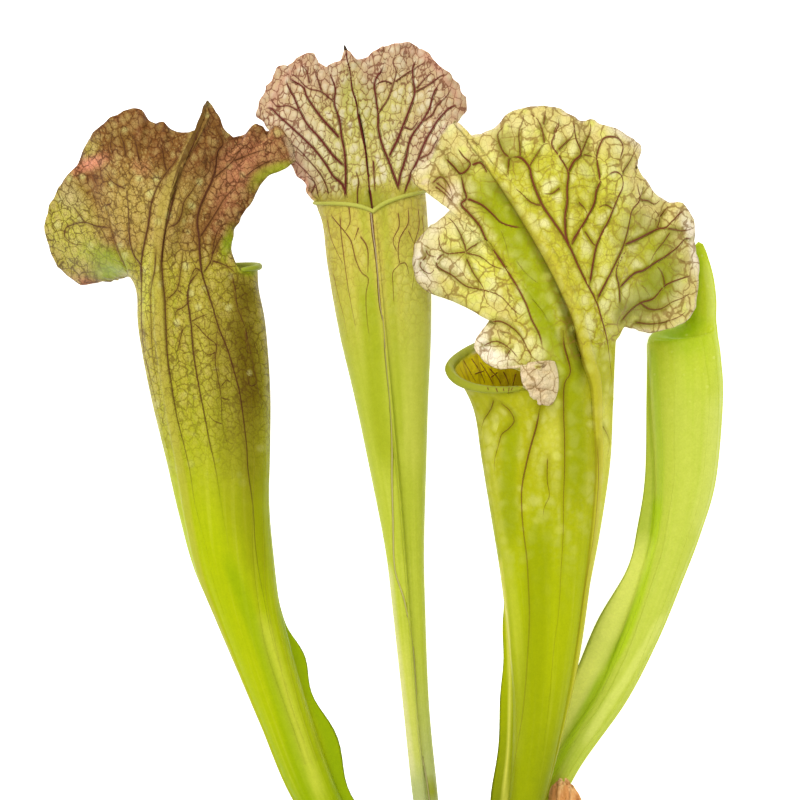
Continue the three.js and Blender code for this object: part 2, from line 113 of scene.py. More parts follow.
# Raised veins: mm that they reach to each side at their start and end, before the leaf's vein size
VEIN_WIDTHS = {
    "main": (0.84, 0.6),
    "side": (0.6, 0.32),
    "rib": (0.84, 0.8),
    "ring": (0.44, 0.32),
    "fine": (0.4, 0.28),
    "seam": (1.0, 0.8),
}
# How dark they are. Above 1 they take the seam's colour.
VEIN_STRENGTHS = {"main": 1.0, "side": 0.85, "ring": 0.55, "fine": 0.5, "rib": 1.0, "seam": 2.0}
VEIN_SLIMMEST = 0.25  # share of its width that a vein keeps at its ends
VEIN_FAINTEST = 0.1  # share of its strength that it keeps there
MIRRORED = ("main", "side")  # the kinds that show on both faces of the hood
VEIN_STEP = 0.45  # mm between the sections of a vein
VEIN_LEAST = 3  # a vein with no more sections than this is left out
VEIN_JUMP = 2.5  # mm of height at which a vein is cut
VEIN_LIFT = 0.08  # mm that a vein stands out of its leaf
VEIN_EDGE = 0.02  # mm that a vein's edges lie in the leaf
VEIN_ROOT = 0.2  # mm that its lowest line lies in the leaf
VEIN_WANDER = [(0.8, 0.11, 1), (0.4, 0.31, 2)]  # columns, radians per row, and shift with the vein's number
HALO_FADE = 2.5  # mm by which the darker skin beside a vein draws in towards the vein's end
SKY = 200  # mm, a height above the whole plant

# Patches of another tone. Shade patches are mostly painted shade, lit patches partly painted light, and on
# the young leaf the cream and flush patches are painted light
TONES = ("fresh", "flush", "lit", "shade", "cream")
PATCH_EDGE = (0.35, 1.35)  # shares of a patch's radius across which it fades
PATCH_STEPS = 4  # spots in a radius along its line
PATCH_TIP = 0.4  # share of its strength at the ends of its line
PATCH_TIP_LENGTH = 3  # radii for each further share of its strength

# Grain of the leaves' skin, in noise waves per metre
STREAKS = 24
PATCHES = 90
NET_CHANGES = 150
MOTTLE = 220
GLOSS_CHANGES = 260
SPECKLES = 480
GRAIN = 1800
STREAK_LENGTH = 0.0007  # how much the streaks are drawn out along the leaf
THROAT_LENGTH = 0.0014  # the same for the lines in the throat
CELL_SQUASH = 0.22  # the skin's cells are this much narrower than high
RELIEF_HEIGHT = 0.0004  # metres
RELIEF_STRENGTH = 0.5
CELL_RELIEF = 0.6
GRAIN_RELIEF = 0.25
LEAF_SPECULAR = 0.05
DRY_SPECULAR = 0.25

# Stage, in metres and watts
FLOOR = 3000  # mm, half the side of the floor
FLOOR_WHITES = ((0.93, 0.93, 0.93), (0.95, 0.95, 0.95))
WORLD_LIGHT = 0.75
FLOOR_GLOW = 0.8  # the table's own light, as of a light table
LAMPS = [("softbox", (-0.38, 0.45, 1.25), 16, 1.0), ("filler", (0.8, -0.5, 1.2), 3, 1.2)]
CAMERA_HEIGHT = 3.0
CAMERA_REACH = 20
SHARP_HEIGHT = 0.03  # the height at which the view's scale holds
SENSOR = 36  # mm
STAGE_GAIN = 1.22  # how much brighter than its own colour a surface looks under these lights

# A tube's station holds left x, left y, right x, right y, height of the centre, turn of the midrib in degrees
# and width of the wing in mm. The turn is 0 with the midrib facing up and 90 with it facing right.
LEFT = {
    "stations": [
        (386, 938, 408, 934, 13, -80, 0.5),
        (343, 873, 371, 863, 14, -80, 3.6),
        (293, 800, 335, 786, 15.5, -76, 4.8),
        (261, 725, 308, 709, 18, -74, 4.1),
        (236, 666, 291, 650, 20, -68, 2.9),
        (216, 620, 279, 602, 21.5, -60, 1),
        (194, 571, 273, 555, 23, -50, 0.5),
        (179, 517, 269, 505, 24.5, -44, 0.5),
        (166, 461, 270, 451, 26, -40, 0.5),
        (150, 393, 270, 390, 27.5, -38, 0.5),
        (139, 330, 265, 326, 29, -35, 0.4),
        (137, 294, 258, 289, 29.5, -33, 0.3),
        (131, 277, 257, 267, 30, -33, 0),
    ],
    "neck_angle": 80,
    "mouth_dip": -2,
    "midrib": [(165, 253, 46), (169, 224, 47), (177, 189, 47), (187, 158, 45), (198, 133, 42)],
    "tip": (209, 102, 39),
    "minus_edge": [(124, 277, 18), (110, 280, 10)],
    "minus_margin": [
        (97, 279, 4), (82, 283, 1.5), (69, 278, 1), (55, 264, 4), (46, 245, 8), (43, 224, 13), (47, 209, 15),
        (58, 187, 20), (71, 170, 24), (79, 161, 22), (84, 148, 24), (96, 130, 29), (115, 116, 33),
        (130, 110, 35), (142, 110, 37), (147, 119, 34), (154, 124, 34), (165, 123, 38), (172, 130, 36),
        (181, 133, 37), (200, 131, 41), (209, 121, 41),
    ],
    "plus_edge": [
        (232, 252, 39), (232, 240, 36), (240, 219, 32), (251, 202, 29), (256, 190, 27), (268, 176, 25),
        (285, 168, 23),
    ],
    "plus_margin": [
        (295, 160, 21), (294, 149, 21), (286, 134, 24), (276, 126, 26), (268, 131, 23), (256, 124, 28),
        (244, 134, 27), (235, 137, 30), (224, 128, 36), (219, 115, 37),
    ],
}

MIDDLE = {
    "stations": [
        (430, 937, 446, 937, 11, 180, 0.5),
        (424, 870, 444, 870, 11, 180, 1.6),
        (413, 800, 438, 800, 11.5, 180, 2.5),
        (403, 706, 429, 706, 12, 180, 3),
        (392, 604, 425, 604, 13, 180, 3),
        (385, 548, 424, 548, 14, 180, 2.5),
        (370, 471, 426, 471, 15.5, 180, 2),
        (355, 400, 428, 400, 17, 180, 1.5),
        (339, 332, 431, 332, 18, 180, 1.2),
        (327, 265, 431, 265, 18.7, 180, 0.8),
        (322, 224, 428, 222, 19, 180, 0.5),
        (314, 202, 426, 190, 19, 180, 0),
    ],
    "neck_angle": 84,
    "mouth_dip": 3,
    "midrib": [(368, 165, 4), (365, 140, 5.5), (360, 115, 8.5), (354, 89, 12.5), (348, 62, 17)],
    "tip": (345, 42, 20),
    "minus_edge": [(432, 172, 17), (437, 158, 15), (438, 146, 14.5)],
    "minus_margin": [
        (442, 132, 14), (448, 122, 13), (456, 112, 11), (463, 109, 10), (466, 103, 10), (462, 91, 12),
        (456, 81, 13), (447, 70, 16), (435, 60, 17), (428, 50, 18), (419, 46, 15), (407, 40, 18),
        (397, 42, 19), (386, 44, 17), (379, 46, 18), (371, 53, 16), (361, 57, 17), (352, 54, 19),
    ],
    "plus_edge": [(306, 193, 17), (303, 183, 15.5), (293, 168, 13), (283, 148, 11), (280, 133, 10)],
    "plus_margin": [
        (274, 120, 9), (257, 111, 8), (260, 100, 9), (269, 82, 11), (279, 65, 14), (288, 65, 12),
        (296, 57, 15), (308, 50, 17), (317, 61, 14), (326, 64, 15), (334, 61, 18), (342, 56, 19),
    ],
}

FRONT = {
    "stations": [
        (496, 937, 518, 936, 15, 60, 0.5),
        (494, 870, 524, 868, 18.5, 62, 2.5),
        (509, 800, 547, 796, 22, 66, 6),
        (513, 709, 567, 711, 26, 66, 4.8),
        (508, 640, 580, 644, 30, 62, 3.2),
        (501, 579, 590, 584, 33, 58, 1.4),
        (492, 522, 600, 530, 36, 54, 0.8),
        (482, 459, 609, 464, 39, 50, 0.5),
        (476, 415, 611, 410, 41, 46, 0.5),
        (466, 389, 612, 365, 43, 42, 0.3),
        (453, 370, 613, 332, 44, 33, 0),
    ],
    "neck_angle": 47,
    "mouth_dip": 26,
    "midrib": [
        (572, 324, 66), (556, 288, 68), (538, 254, 68), (514, 213, 65), (491, 176, 60), (470, 145, 54),
    ],
    "tip": (454, 122, 49),
    "minus_edge": [(534, 378, 67.5), (540, 370, 68.5)],
    "minus_margin": [
        (543, 363, 69), (519, 367, 69), (504, 369, 67.5), (489, 365, 65), (479, 357, 62), (473, 345, 59),
        (480, 334, 56), (491, 314, 53), (481, 299, 49), (459, 289, 44), (440, 295, 41), (430, 291, 39),
        (418, 281, 38), (414, 266, 38), (416, 246, 39), (428, 229, 41), (444, 218, 44), (455, 203, 46),
        (437, 187, 41), (427, 183, 39), (413, 183, 36), (412, 175, 35), (418, 167, 36), (431, 160, 39),
        (436, 152, 41), (438, 143, 43), (446, 129, 47),
    ],
    "plus_edge": [(622, 326, 41), (632, 328, 38), (645, 332, 35)],
    "plus_margin": [
        (660, 330, 33), (681, 324, 31), (691, 316, 30), (696, 298, 30), (698, 270, 32), (694, 242, 35),
        (694, 231, 34), (689, 214, 37), (681, 204, 40), (669, 203, 38), (656, 196, 42), (645, 183, 46),
        (636, 167, 49), (639, 149, 47), (634, 143, 49), (620, 134, 53), (603, 127, 56), (589, 122, 53),
        (579, 124, 55), (568, 118, 58), (558, 111, 57), (543, 109, 59), (525, 110, 57), (511, 114, 57),
        (503, 121, 54), (494, 131, 53), (482, 136, 54), (468, 137, 51), (461, 130, 50),
    ],
}

YOUNG = {
    "stations": [
        (526, 938, 542, 936, 9, 90, 0.5),
        (514, 884, 534, 878, 8.5, 90, 1),
        (533, 812, 555, 822, 8.5, 90, 3),
        (558, 757, 580, 770, 8.5, 90, 6),
        (599, 693, 627, 703, 9, 90, 8.5),
        (624, 630, 659, 641, 9, 90, 8),
        (643, 573, 683, 583, 9, 90, 4.4),
        (654, 527, 702, 533, 9.4, 90, 4.4),
        (656, 476, 717, 480, 9.7, 90, 2.8),
        (652, 400, 724, 400, 10.1, 90, 1.2),
        (650, 360, 722, 358, 10.2, 90, 0.4),
        (649, 342, 719, 336, 10.2, 90, 0),
        (656, 333, 718, 327, 10.6, 90, 0),
        (684, 322, 717, 318, 11.5, 90, 0),
        (682, 300, 717, 298, 12, 90, 0),
        (686, 275, 714, 275, 12, 90, 0),
        (692, 256, 708, 254, 12, 90, 0),
        (696, 245, 704, 244, 12, 90, 0),
    ],
}

DRY_LEAF_STATIONS = [
    (549, 938, 559, 937, 12),
    (548, 890, 568, 888, 15),
    (549, 840, 578, 838, 16.5),
    (549, 802, 582, 804, 17),
    (552, 788, 576, 790, 16.5),
    (560, 782, 568, 783, 16),
]

SCALE_STATIONS = {
    "base_scale_1": [(409, 939, 421, 939, 18), (406, 918, 422, 919, 20), (411, 900, 418, 901, 20)],
    "base_scale_2": [(452, 939, 470, 939, 18.5), (450, 914, 468, 914, 20.5), (456, 890, 462, 890, 20.5)],
    "base_scale_3": [(473, 939, 489, 939, 17.5), (474, 910, 488, 910, 19.5), (479, 884, 484, 884, 19)],
    "base_scale_4": [(562, 939, 574, 939, 12), (563, 916, 576, 914, 13.5), (570, 896, 576, 895, 13.5)],
}

STEM_LINE = [(386, 975, 10), (430, 977, 10), (480, 973, 10), (530, 976, 10), (574, 972, 10)]

ROOT_LINES = [
    [(400, 1003, 7), (385, 1032, 3), (360, 1060, 1), (352, 1100, 1)],
    [(425, 1010, 7), (420, 1050, 2.5), (402, 1085, 1), (398, 1130, 1)],
    [(450, 1010, 7), (452, 1045, 2.5), (440, 1090, 1), (446, 1145, 1)],
    [(480, 1008, 7), (484, 1050, 2.5), (478, 1095, 1), (492, 1150, 1)],
    [(507, 1009, 7), (516, 1045, 2.5), (522, 1090, 1), (540, 1130, 1)],
    [(533, 1010, 7), (548, 1045, 2.5), (568, 1078, 1), (574, 1118, 1)],
    [(556, 1004, 7), (582, 1028, 3), (606, 1050, 1), (636, 1085, 1)],
]

STEM_SWELL = [0.62, 0.98, 0.92, 1, 0.9, 0.98, 0.6]  # the stem's radius from end to end, before its scars
STEM_SCARS = 14  # leaf scars along the stem
STEM_STEPS = 240
STEM_COLUMNS = 96
ROOT_STEPS = 120
ROOT_COLUMNS = 14
TWIG_STEPS = 30
TWIG_COLUMNS = 8
TWIGS = ((0.35, 1), (0.55, -1), (0.75, 1))  # share of a root at which each side root starts, and its side
TWIG_LINE = np.array([[0, 0, 0], [2.5, -2.5, -0.2], [4, -6.5, 0], [4.5, -10, 0]])  # mm from there
TWIG_LOWEST = 0.4  # mm above the surface
TWIG_RADIUS = 0.35  # of its root's base
TWIG_TAPER = 0.5  # share of its radius that a side root loses
ROOT_TAPER = 0.6  # share of its radius that a root loses
STEM_FULLNESS = 0.95  # of the stem's radius in the CAD model
STEM_SCAR_HEIGHT = 0.05  # of the radius, where a leaf has fallen
STEM_SCAR_BASE = 0.04  # of the radius, off it between the scars
STEM_LUMPS, ROOT_LUMPS, TWIG_LUMPS = 0.16, 0.3, 0.2  # height of the lumps, as a share of the radius
LUMP_SIZE = 0.6  # of the greatest radius
LUMP_SHIFT = 17.0  # sizes that the lumps of one piece lie from the next piece's
TUBE_CAP = 0.3  # share of its radius that a tube's end stands out

# Dry strips
STRIP_DEPTH = 0.7  # of a round section's
STRIP_FOOT = (0, 0.12)  # shares of the strip over which its crinkles grow
STRIP_END = (0.8, 1)  # shares over which its end gets ragged
CRINKLE_SIZE = 3.0  # mm
RIDGE_COUNT = 14  # radians of a ridge for each radian across
RIDGE_HEIGHT = 0.35  # of the crinkles
RAGGED_SIZE = 1.3  # per mm
RAGGED_LENGTH = 1.5  # mm
FIBRE_STRETCH = (1.0, 0.25, 1.0)  # fibres run along y

# How each leaf is finished. keel is the band beside the midrib and the channel along it, swell the height of
# the skin between the veins, and ring_veins are veins at the sides that the view doesn't show (side, and from
# and to as shares of the tube). Under look, ranges are in mm, up the leaf from the mouth, or in from the
# margin for crest and margin. Cells are sizes in mm, and the other values are strengths from 0 to 1. A leaf's
# look lists only the parts that the leaf has.
LEFT.update(
    lip_size=0.62,
    ruffle=0.55,
    wing_wave=(0.3, 0.108, 0.318),
    lip_wall=0.4,
    notch=0,
    mouth_lift=-2,
    keel={"facing": -1, "width": 3.6, "height": 0.5, "from": -260, "valley": 0.5, "valley_width": 3.0},
    swell=0.25,
    vein_size=0.72,
    vein_end=0.6,
    vein_fade=0.35,
    slim_veins=0.3,
    ring_veins=[(s, 0.2, 0.97) for s in (0.45, 0.55, 0.66, 0.77, 0.88, -0.4, -0.5, -0.6, -0.7, -0.8, -0.9)],
    look={
        "foot_until": -158, "shoulder": (-85, -15), "hood_by": 14, "crest": (26, 8), "net_from": (-75, -25),
        "cell": 2.3, "cell_length": 1.3, "small_cell": 0.9, "spot_cell": 4.2, "spot_share": 0.4, "pale": 0.55,
        "small_pale": 0.42, "net": 0.72, "net_width": 0.08, "small_net": 0.55, "tube_net": 0.85,
        "tube_pale": 0.6, "halo": 0.45, "halo_width": 1.4, "groove": 0.75, "groove_width": 0.34,
        "groove_from": (-70, -5), "tube_groove": 0.6, "band": 0.35, "spot_strength": 0.6, "spot_radius": 0.32,
        "calm_middle": 0.9, "margin": 1.5, "margin_strength": 0.6, "fresh_calm": 0.7, "roughness": 0.42,
        "turn": -18, "throat_veins": 0.5, "throat_until": (-2, 0), "veins_from": (-110, -40),
        "faint_veins": 0.15, "streaks": 0.6,
    },
)
MIDDLE.update(
    lip_size=0.27,
    ruffle=0.8,
    wing_wave=(0.04, 0.2, 0.1),
    lip_wall=0.3,
    notch=13,
    mouth_lift=3,
    keel={"facing": 0, "width": 1.4, "height": 0.35, "from": -200, "valley": 0.0, "valley_width": 1.0},
    swell=-0.18,
    vein_size=1.05,
    vein_end=0.92,
    vein_fade=0.1,
    slim_veins=0.4,
    ring_veins=[(s, 0.15, 0.97) for s in (0.0, 0.12, 0.24, 0.36, 0.5, -0.12, -0.24, -0.36, -0.5)],
    look={
        "foot_until": -165, "shoulder": (-60, -10), "hood_by": 8, "crest": (20, 4), "net_from": (-60, -10),
        "cell": 1.9, "cell_length": 1.5, "small_cell": 1.1, "pale": 0.8, "small_pale": 0.1, "net": 0.8,
        "net_width": 0.085, "small_net": 0.12, "tube_net": 0.5, "tube_pale": 0.1, "halo": 0.15,
        "halo_width": 1.2, "groove": 1.0, "groove_width": 1.0, "groove_from": (-40, -25), "tube_groove": 1.0,
        "band": 0.5, "calm_middle": 0.7, "margin": 3.0, "margin_strength": 0.4, "fresh_calm": 0.85,
        "roughness": 0.4, "turn": 6, "throat_veins": 0.3, "throat_until": (-32, -8), "veins_from": (-60, -10),
        "faint_veins": 0.15, "streaks": 0.6, "seam": 0.85,
    },
)
FRONT.update(
    lip_size=0.88,
    ruffle=0.6,
    wing_wave=(0.08, 0.11, 0.2),
    lip_wall=0.5,
    notch=0,
    mouth_lift=12,
    keel={"facing": 1, "width": 3.0, "height": 0.8, "from": -150, "valley": 1.2, "valley_width": 4.0},
    frill=(
        [(552, 362, 65.3), (555, 376, 65.2), (554, 392, 63.4), (548, 403, 62.4), (541, 402, 62.4)],
        [(519, 366, 69), (519, 376, 69.5), (522, 386, 69), (529, 394, 68), (538, 403, 65)],
    ),
    swell=0.5,
    vein_size=0.85,
    vein_end=0.88,
    vein_fade=0.15,
    slim_veins=0.5,
    ring_veins=[(s, 0.2, 0.97) for s in (0.4, 0.5, 0.6, 0.7, 0.8, 0.9, -0.7, -0.8, -0.9)],
    look={
        "foot_until": -118, "shoulder": (-75, -10), "hood_by": 20, "crest": (16, 4), "net_from": (-80, -20),
        "cell": 4.2, "cell_length": 1.2, "small_cell": 1.7, "spot_cell": 4.8, "spot_share": 0.6, "pale": 0.85,
        "small_pale": 0.3, "net": 0.7, "net_width": 0.07, "small_net": 0.3, "tube_net": 0.15,
        "tube_pale": 0.3, "halo": 0.6, "halo_width": 2.0, "groove": 0.85, "groove_width": 0.3,
        "groove_from": (-170, -60), "tube_groove": 0.5, "band": 0.6, "spot_strength": 0.6,
        "spot_radius": 0.36, "calm_middle": 0.55, "margin": 2.5, "margin_strength": 0.7, "fresh_calm": 0.85,
        "roughness": 0.4, "turn": 0, "throat_veins": 0.35, "throat_until": (-2, 0), "veins_from": (-90, -5),
        "faint_veins": 0.25, "streaks": 0.4,
    },
)
YOUNG.update(
    ruffle=0,
    keel={"facing": 0, "width": 1.6, "height": 0.4, "from": -400, "valley": 0.0, "valley_width": 1.0},
    swell=0.0,
    vein_size=0.7,
    vein_end=0.6,
    vein_fade=0.35,
    slim_veins=0.0,
    veins={},
    ring_veins=[(s, 0.1, 0.66) for s in (-0.75, -0.62, -0.3, -0.15, 0.15, 0.3, 0.62, 0.75)],
    look={
        "foot_until": -170, "shoulder": (-60, -20), "net_from": (-75, -35), "cell": 1.6, "cell_length": 1.3,
        "small_cell": 0.9, "spot_cell": 2.0, "spot_share": 0.35, "pale": 0.2, "small_pale": 0.15,
        "small_net": 0.1, "tube_net": 1.0, "tube_pale": 1.0, "halo": 0.1, "halo_width": 1.2, "band": 0.4,
        "spot_strength": 0.5, "spot_radius": 0.25, "fresh_calm": 0.2, "roughness": 0.34, "turn": -14,
        "veins_from": (-200, -100), "faint_veins": 0.5, "streaks": 0.35,
    },
)

# Veins drawn in the view. Each line lists x and y in turn, in pixels, from the vein's thick end to its thin
# one. The kinds are those of VEIN_WIDTHS.
LEFT["veins"] = {
    "main": [
        [204, 120, 192, 151, 182, 174, 176, 193, 170, 217, 165, 239, 163, 257, 164, 281, 166, 300, 167, 329,
         169, 361, 173, 388, 178, 418, 184, 442, 190, 468, 195, 501, 202, 531, 206, 546, 213, 580, 224, 615],
        [214, 124, 219, 134, 223, 144, 218, 152, 216, 166, 213, 180, 206, 195, 200, 210, 198, 223, 200, 239,
         201, 257, 203, 274, 208, 290, 214, 309, 220, 329, 228, 349, 234, 369, 240, 392, 244, 420, 247, 448,
         248, 468, 253, 507, 255, 543, 258, 568, 263, 596, 271, 636, 279, 666, 289, 694, 299, 726, 313, 767,
         330, 812],
        [144, 355, 142, 319, 142, 290, 142, 266, 135, 256, 131, 242, 130, 223, 129, 203, 127, 190, 123, 176,
         118, 164, 113, 154, 103, 149, 94, 142],
        [142, 286, 142, 266, 145, 247, 150, 223, 153, 203, 160, 185, 163, 180, 157, 178, 148, 169, 140, 163,
         126, 158, 114, 154],
        [200, 272, 192, 282, 190, 286, 189, 301, 192, 323, 194, 349, 198, 376, 204, 408, 210, 440, 216, 468,
         222, 507, 229, 545],
    ],
    "side": [
        [127, 270, 119, 252, 111, 228, 107, 206, 94, 195, 84, 185],
        [111, 228, 97, 226, 84, 222, 72, 224, 65, 227, 63, 235, 72, 243, 84, 245, 94, 254, 109, 259, 127,
         269],
        [84, 222, 70, 202, 65, 196], [107, 206, 112, 203, 113, 199], [127, 190, 114, 183, 106, 174, 97, 168],
        [163, 180, 168, 173, 175, 164, 181, 154, 180, 140],
        [168, 173, 165, 163, 163, 151, 160, 141, 161, 130],
        [140, 163, 138, 152, 136, 142, 131, 132, 128, 122],
        [126, 158, 125, 146, 121, 134, 123, 127, 121, 118], [113, 154, 111, 145, 112, 136, 106, 126],
        [200, 239, 209, 225, 217, 212, 224, 200, 234, 188, 245, 176, 256, 168],
        [213, 180, 223, 171, 233, 161, 241, 149, 255, 139, 266, 134],
        [233, 161, 246, 156, 262, 150, 276, 148], [245, 176, 259, 166, 275, 158, 288, 154],
        [204, 274, 212, 261, 214, 247, 217, 234, 224, 223, 232, 212],
        [212, 261, 226, 266, 236, 274, 241, 286],
        [170, 228, 177, 225, 182, 217, 185, 203, 194, 190, 204, 174, 207, 160],
        [168, 300, 178, 290, 182, 270, 184, 250, 182, 239, 186, 228], [178, 290, 188, 297],
        [232, 276, 236, 290, 238, 307, 246, 329, 251, 353, 257, 384, 263, 414, 265, 440, 266, 477],
        [246, 329, 248, 349, 244, 363],
        [192, 322, 198, 326, 204, 333, 210, 339, 217, 345, 216, 361, 219, 380, 222, 398, 223, 424, 228, 444,
         233, 479],
        [192, 322, 204, 316, 216, 312],
        [157, 250, 156, 270, 152, 290, 152, 325, 154, 361, 159, 388, 164, 428, 170, 460],
        [145, 355, 153, 388, 161, 422, 167, 448], [222, 386, 228, 380, 233, 386], [222, 398, 233, 400],
        [223, 424, 214, 420, 208, 412], [217, 352, 210, 355, 204, 351, 200, 342],
        [257, 384, 251, 386, 248, 376, 251, 362],
        [192, 300, 184, 308, 178, 311, 177, 320, 184, 328, 193, 330],
        [184, 328, 180, 345, 178, 355, 184, 366], [213, 256, 216, 248, 222, 236, 226, 228],
        [204, 274, 197, 269, 192, 278, 189, 290],
    ],
}

MIDDLE["veins"] = {
    "main": [
        [344, 197, 345, 183, 345, 167, 344, 150, 341, 134, 339, 117, 334, 101, 335, 87, 331, 75, 328, 66],
        [400, 190, 395, 176, 388, 157, 382, 142, 378, 125, 378, 112, 376, 98, 375, 79, 381, 69, 384, 60],
        [388, 156, 396, 141, 403, 124, 410, 106, 415, 90, 413, 76, 413, 65, 417, 56],
        [347, 196, 341, 182, 333, 175, 324, 161, 313, 147, 302, 136, 288, 123, 277, 113, 269, 106, 261, 108],
        [344, 165, 332, 153, 318, 135, 307, 123, 299, 109, 293, 95, 288, 86, 284, 76],
        [340, 137, 329, 125, 321, 116, 313, 105, 306, 94, 303, 86, 286, 75],
        [403, 196, 408, 182, 413, 169, 419, 156, 424, 143, 432, 128, 440, 116, 452, 105, 460, 103],
        [398, 188, 400, 175, 406, 156, 411, 136, 422, 120, 430, 106, 433, 94, 440, 80],
    ],
    "side": [
        [333, 99, 321, 90, 307, 86, 297, 76, 289, 71], [321, 90, 318, 80, 315, 71, 318, 66],
        [309, 82, 306, 69, 300, 62], [299, 110, 288, 104, 276, 104, 269, 95],
        [328, 194, 325, 183, 319, 172, 310, 161, 302, 152, 292, 143, 284, 138],
        [318, 197, 314, 182, 306, 171, 296, 161, 290, 154], [310, 193, 314, 182, 306, 175],
        [357, 206, 357, 189, 358, 179, 355, 168], [378, 111, 387, 98, 393, 83, 396, 69, 393, 60, 398, 53],
        [393, 82, 384, 79, 375, 83], [395, 80, 406, 72, 413, 68, 425, 61],
        [415, 90, 429, 83, 440, 75, 446, 72], [417, 87, 425, 77, 432, 71],
        [419, 157, 430, 152, 435, 142, 440, 134], [373, 158, 374, 178, 375, 190],
        [422, 120, 432, 113, 437, 104, 447, 94, 452, 85], [403, 124, 412, 127, 419, 118],
        [340, 214, 341, 232, 343, 249, 347, 280, 351, 303, 357, 333],
        [327, 218, 331, 238, 336, 250, 344, 266],
        [330, 213, 335, 220, 345, 232, 351, 241, 356, 260, 362, 273, 368, 278, 366, 295, 367, 318, 370, 341],
        [359, 227, 354, 241], [360, 236, 367, 247, 368, 275],
        [408, 207, 408, 223, 400, 238, 398, 254, 399, 264, 393, 272, 393, 287, 394, 307],
        [398, 212, 399, 226, 393, 241, 398, 254], [399, 264, 405, 263, 409, 275],
        [418, 207, 419, 226, 414, 246, 414, 272, 411, 295], [408, 230, 414, 244],
        [333, 272, 338, 295, 344, 318, 348, 340], [349, 206, 350, 222, 345, 232],
        [422, 215, 424, 240, 421, 265],
    ],
    "seam": [
        [371, 213, 373, 232, 376, 254, 378, 275, 380, 303, 384, 327, 385, 348, 387, 371, 390, 402, 392, 440,
         392, 480, 393, 520, 394, 560, 396, 575, 404, 600, 412, 640, 416, 690, 419, 740, 428, 790, 434, 850,
         437, 920],
    ],
    "rib": [
        [372, 209, 371, 195, 369, 183, 367, 167, 365, 150, 362, 134, 358, 114, 356, 101, 352, 87, 350, 71,
         347, 58, 345, 46],
    ],
}

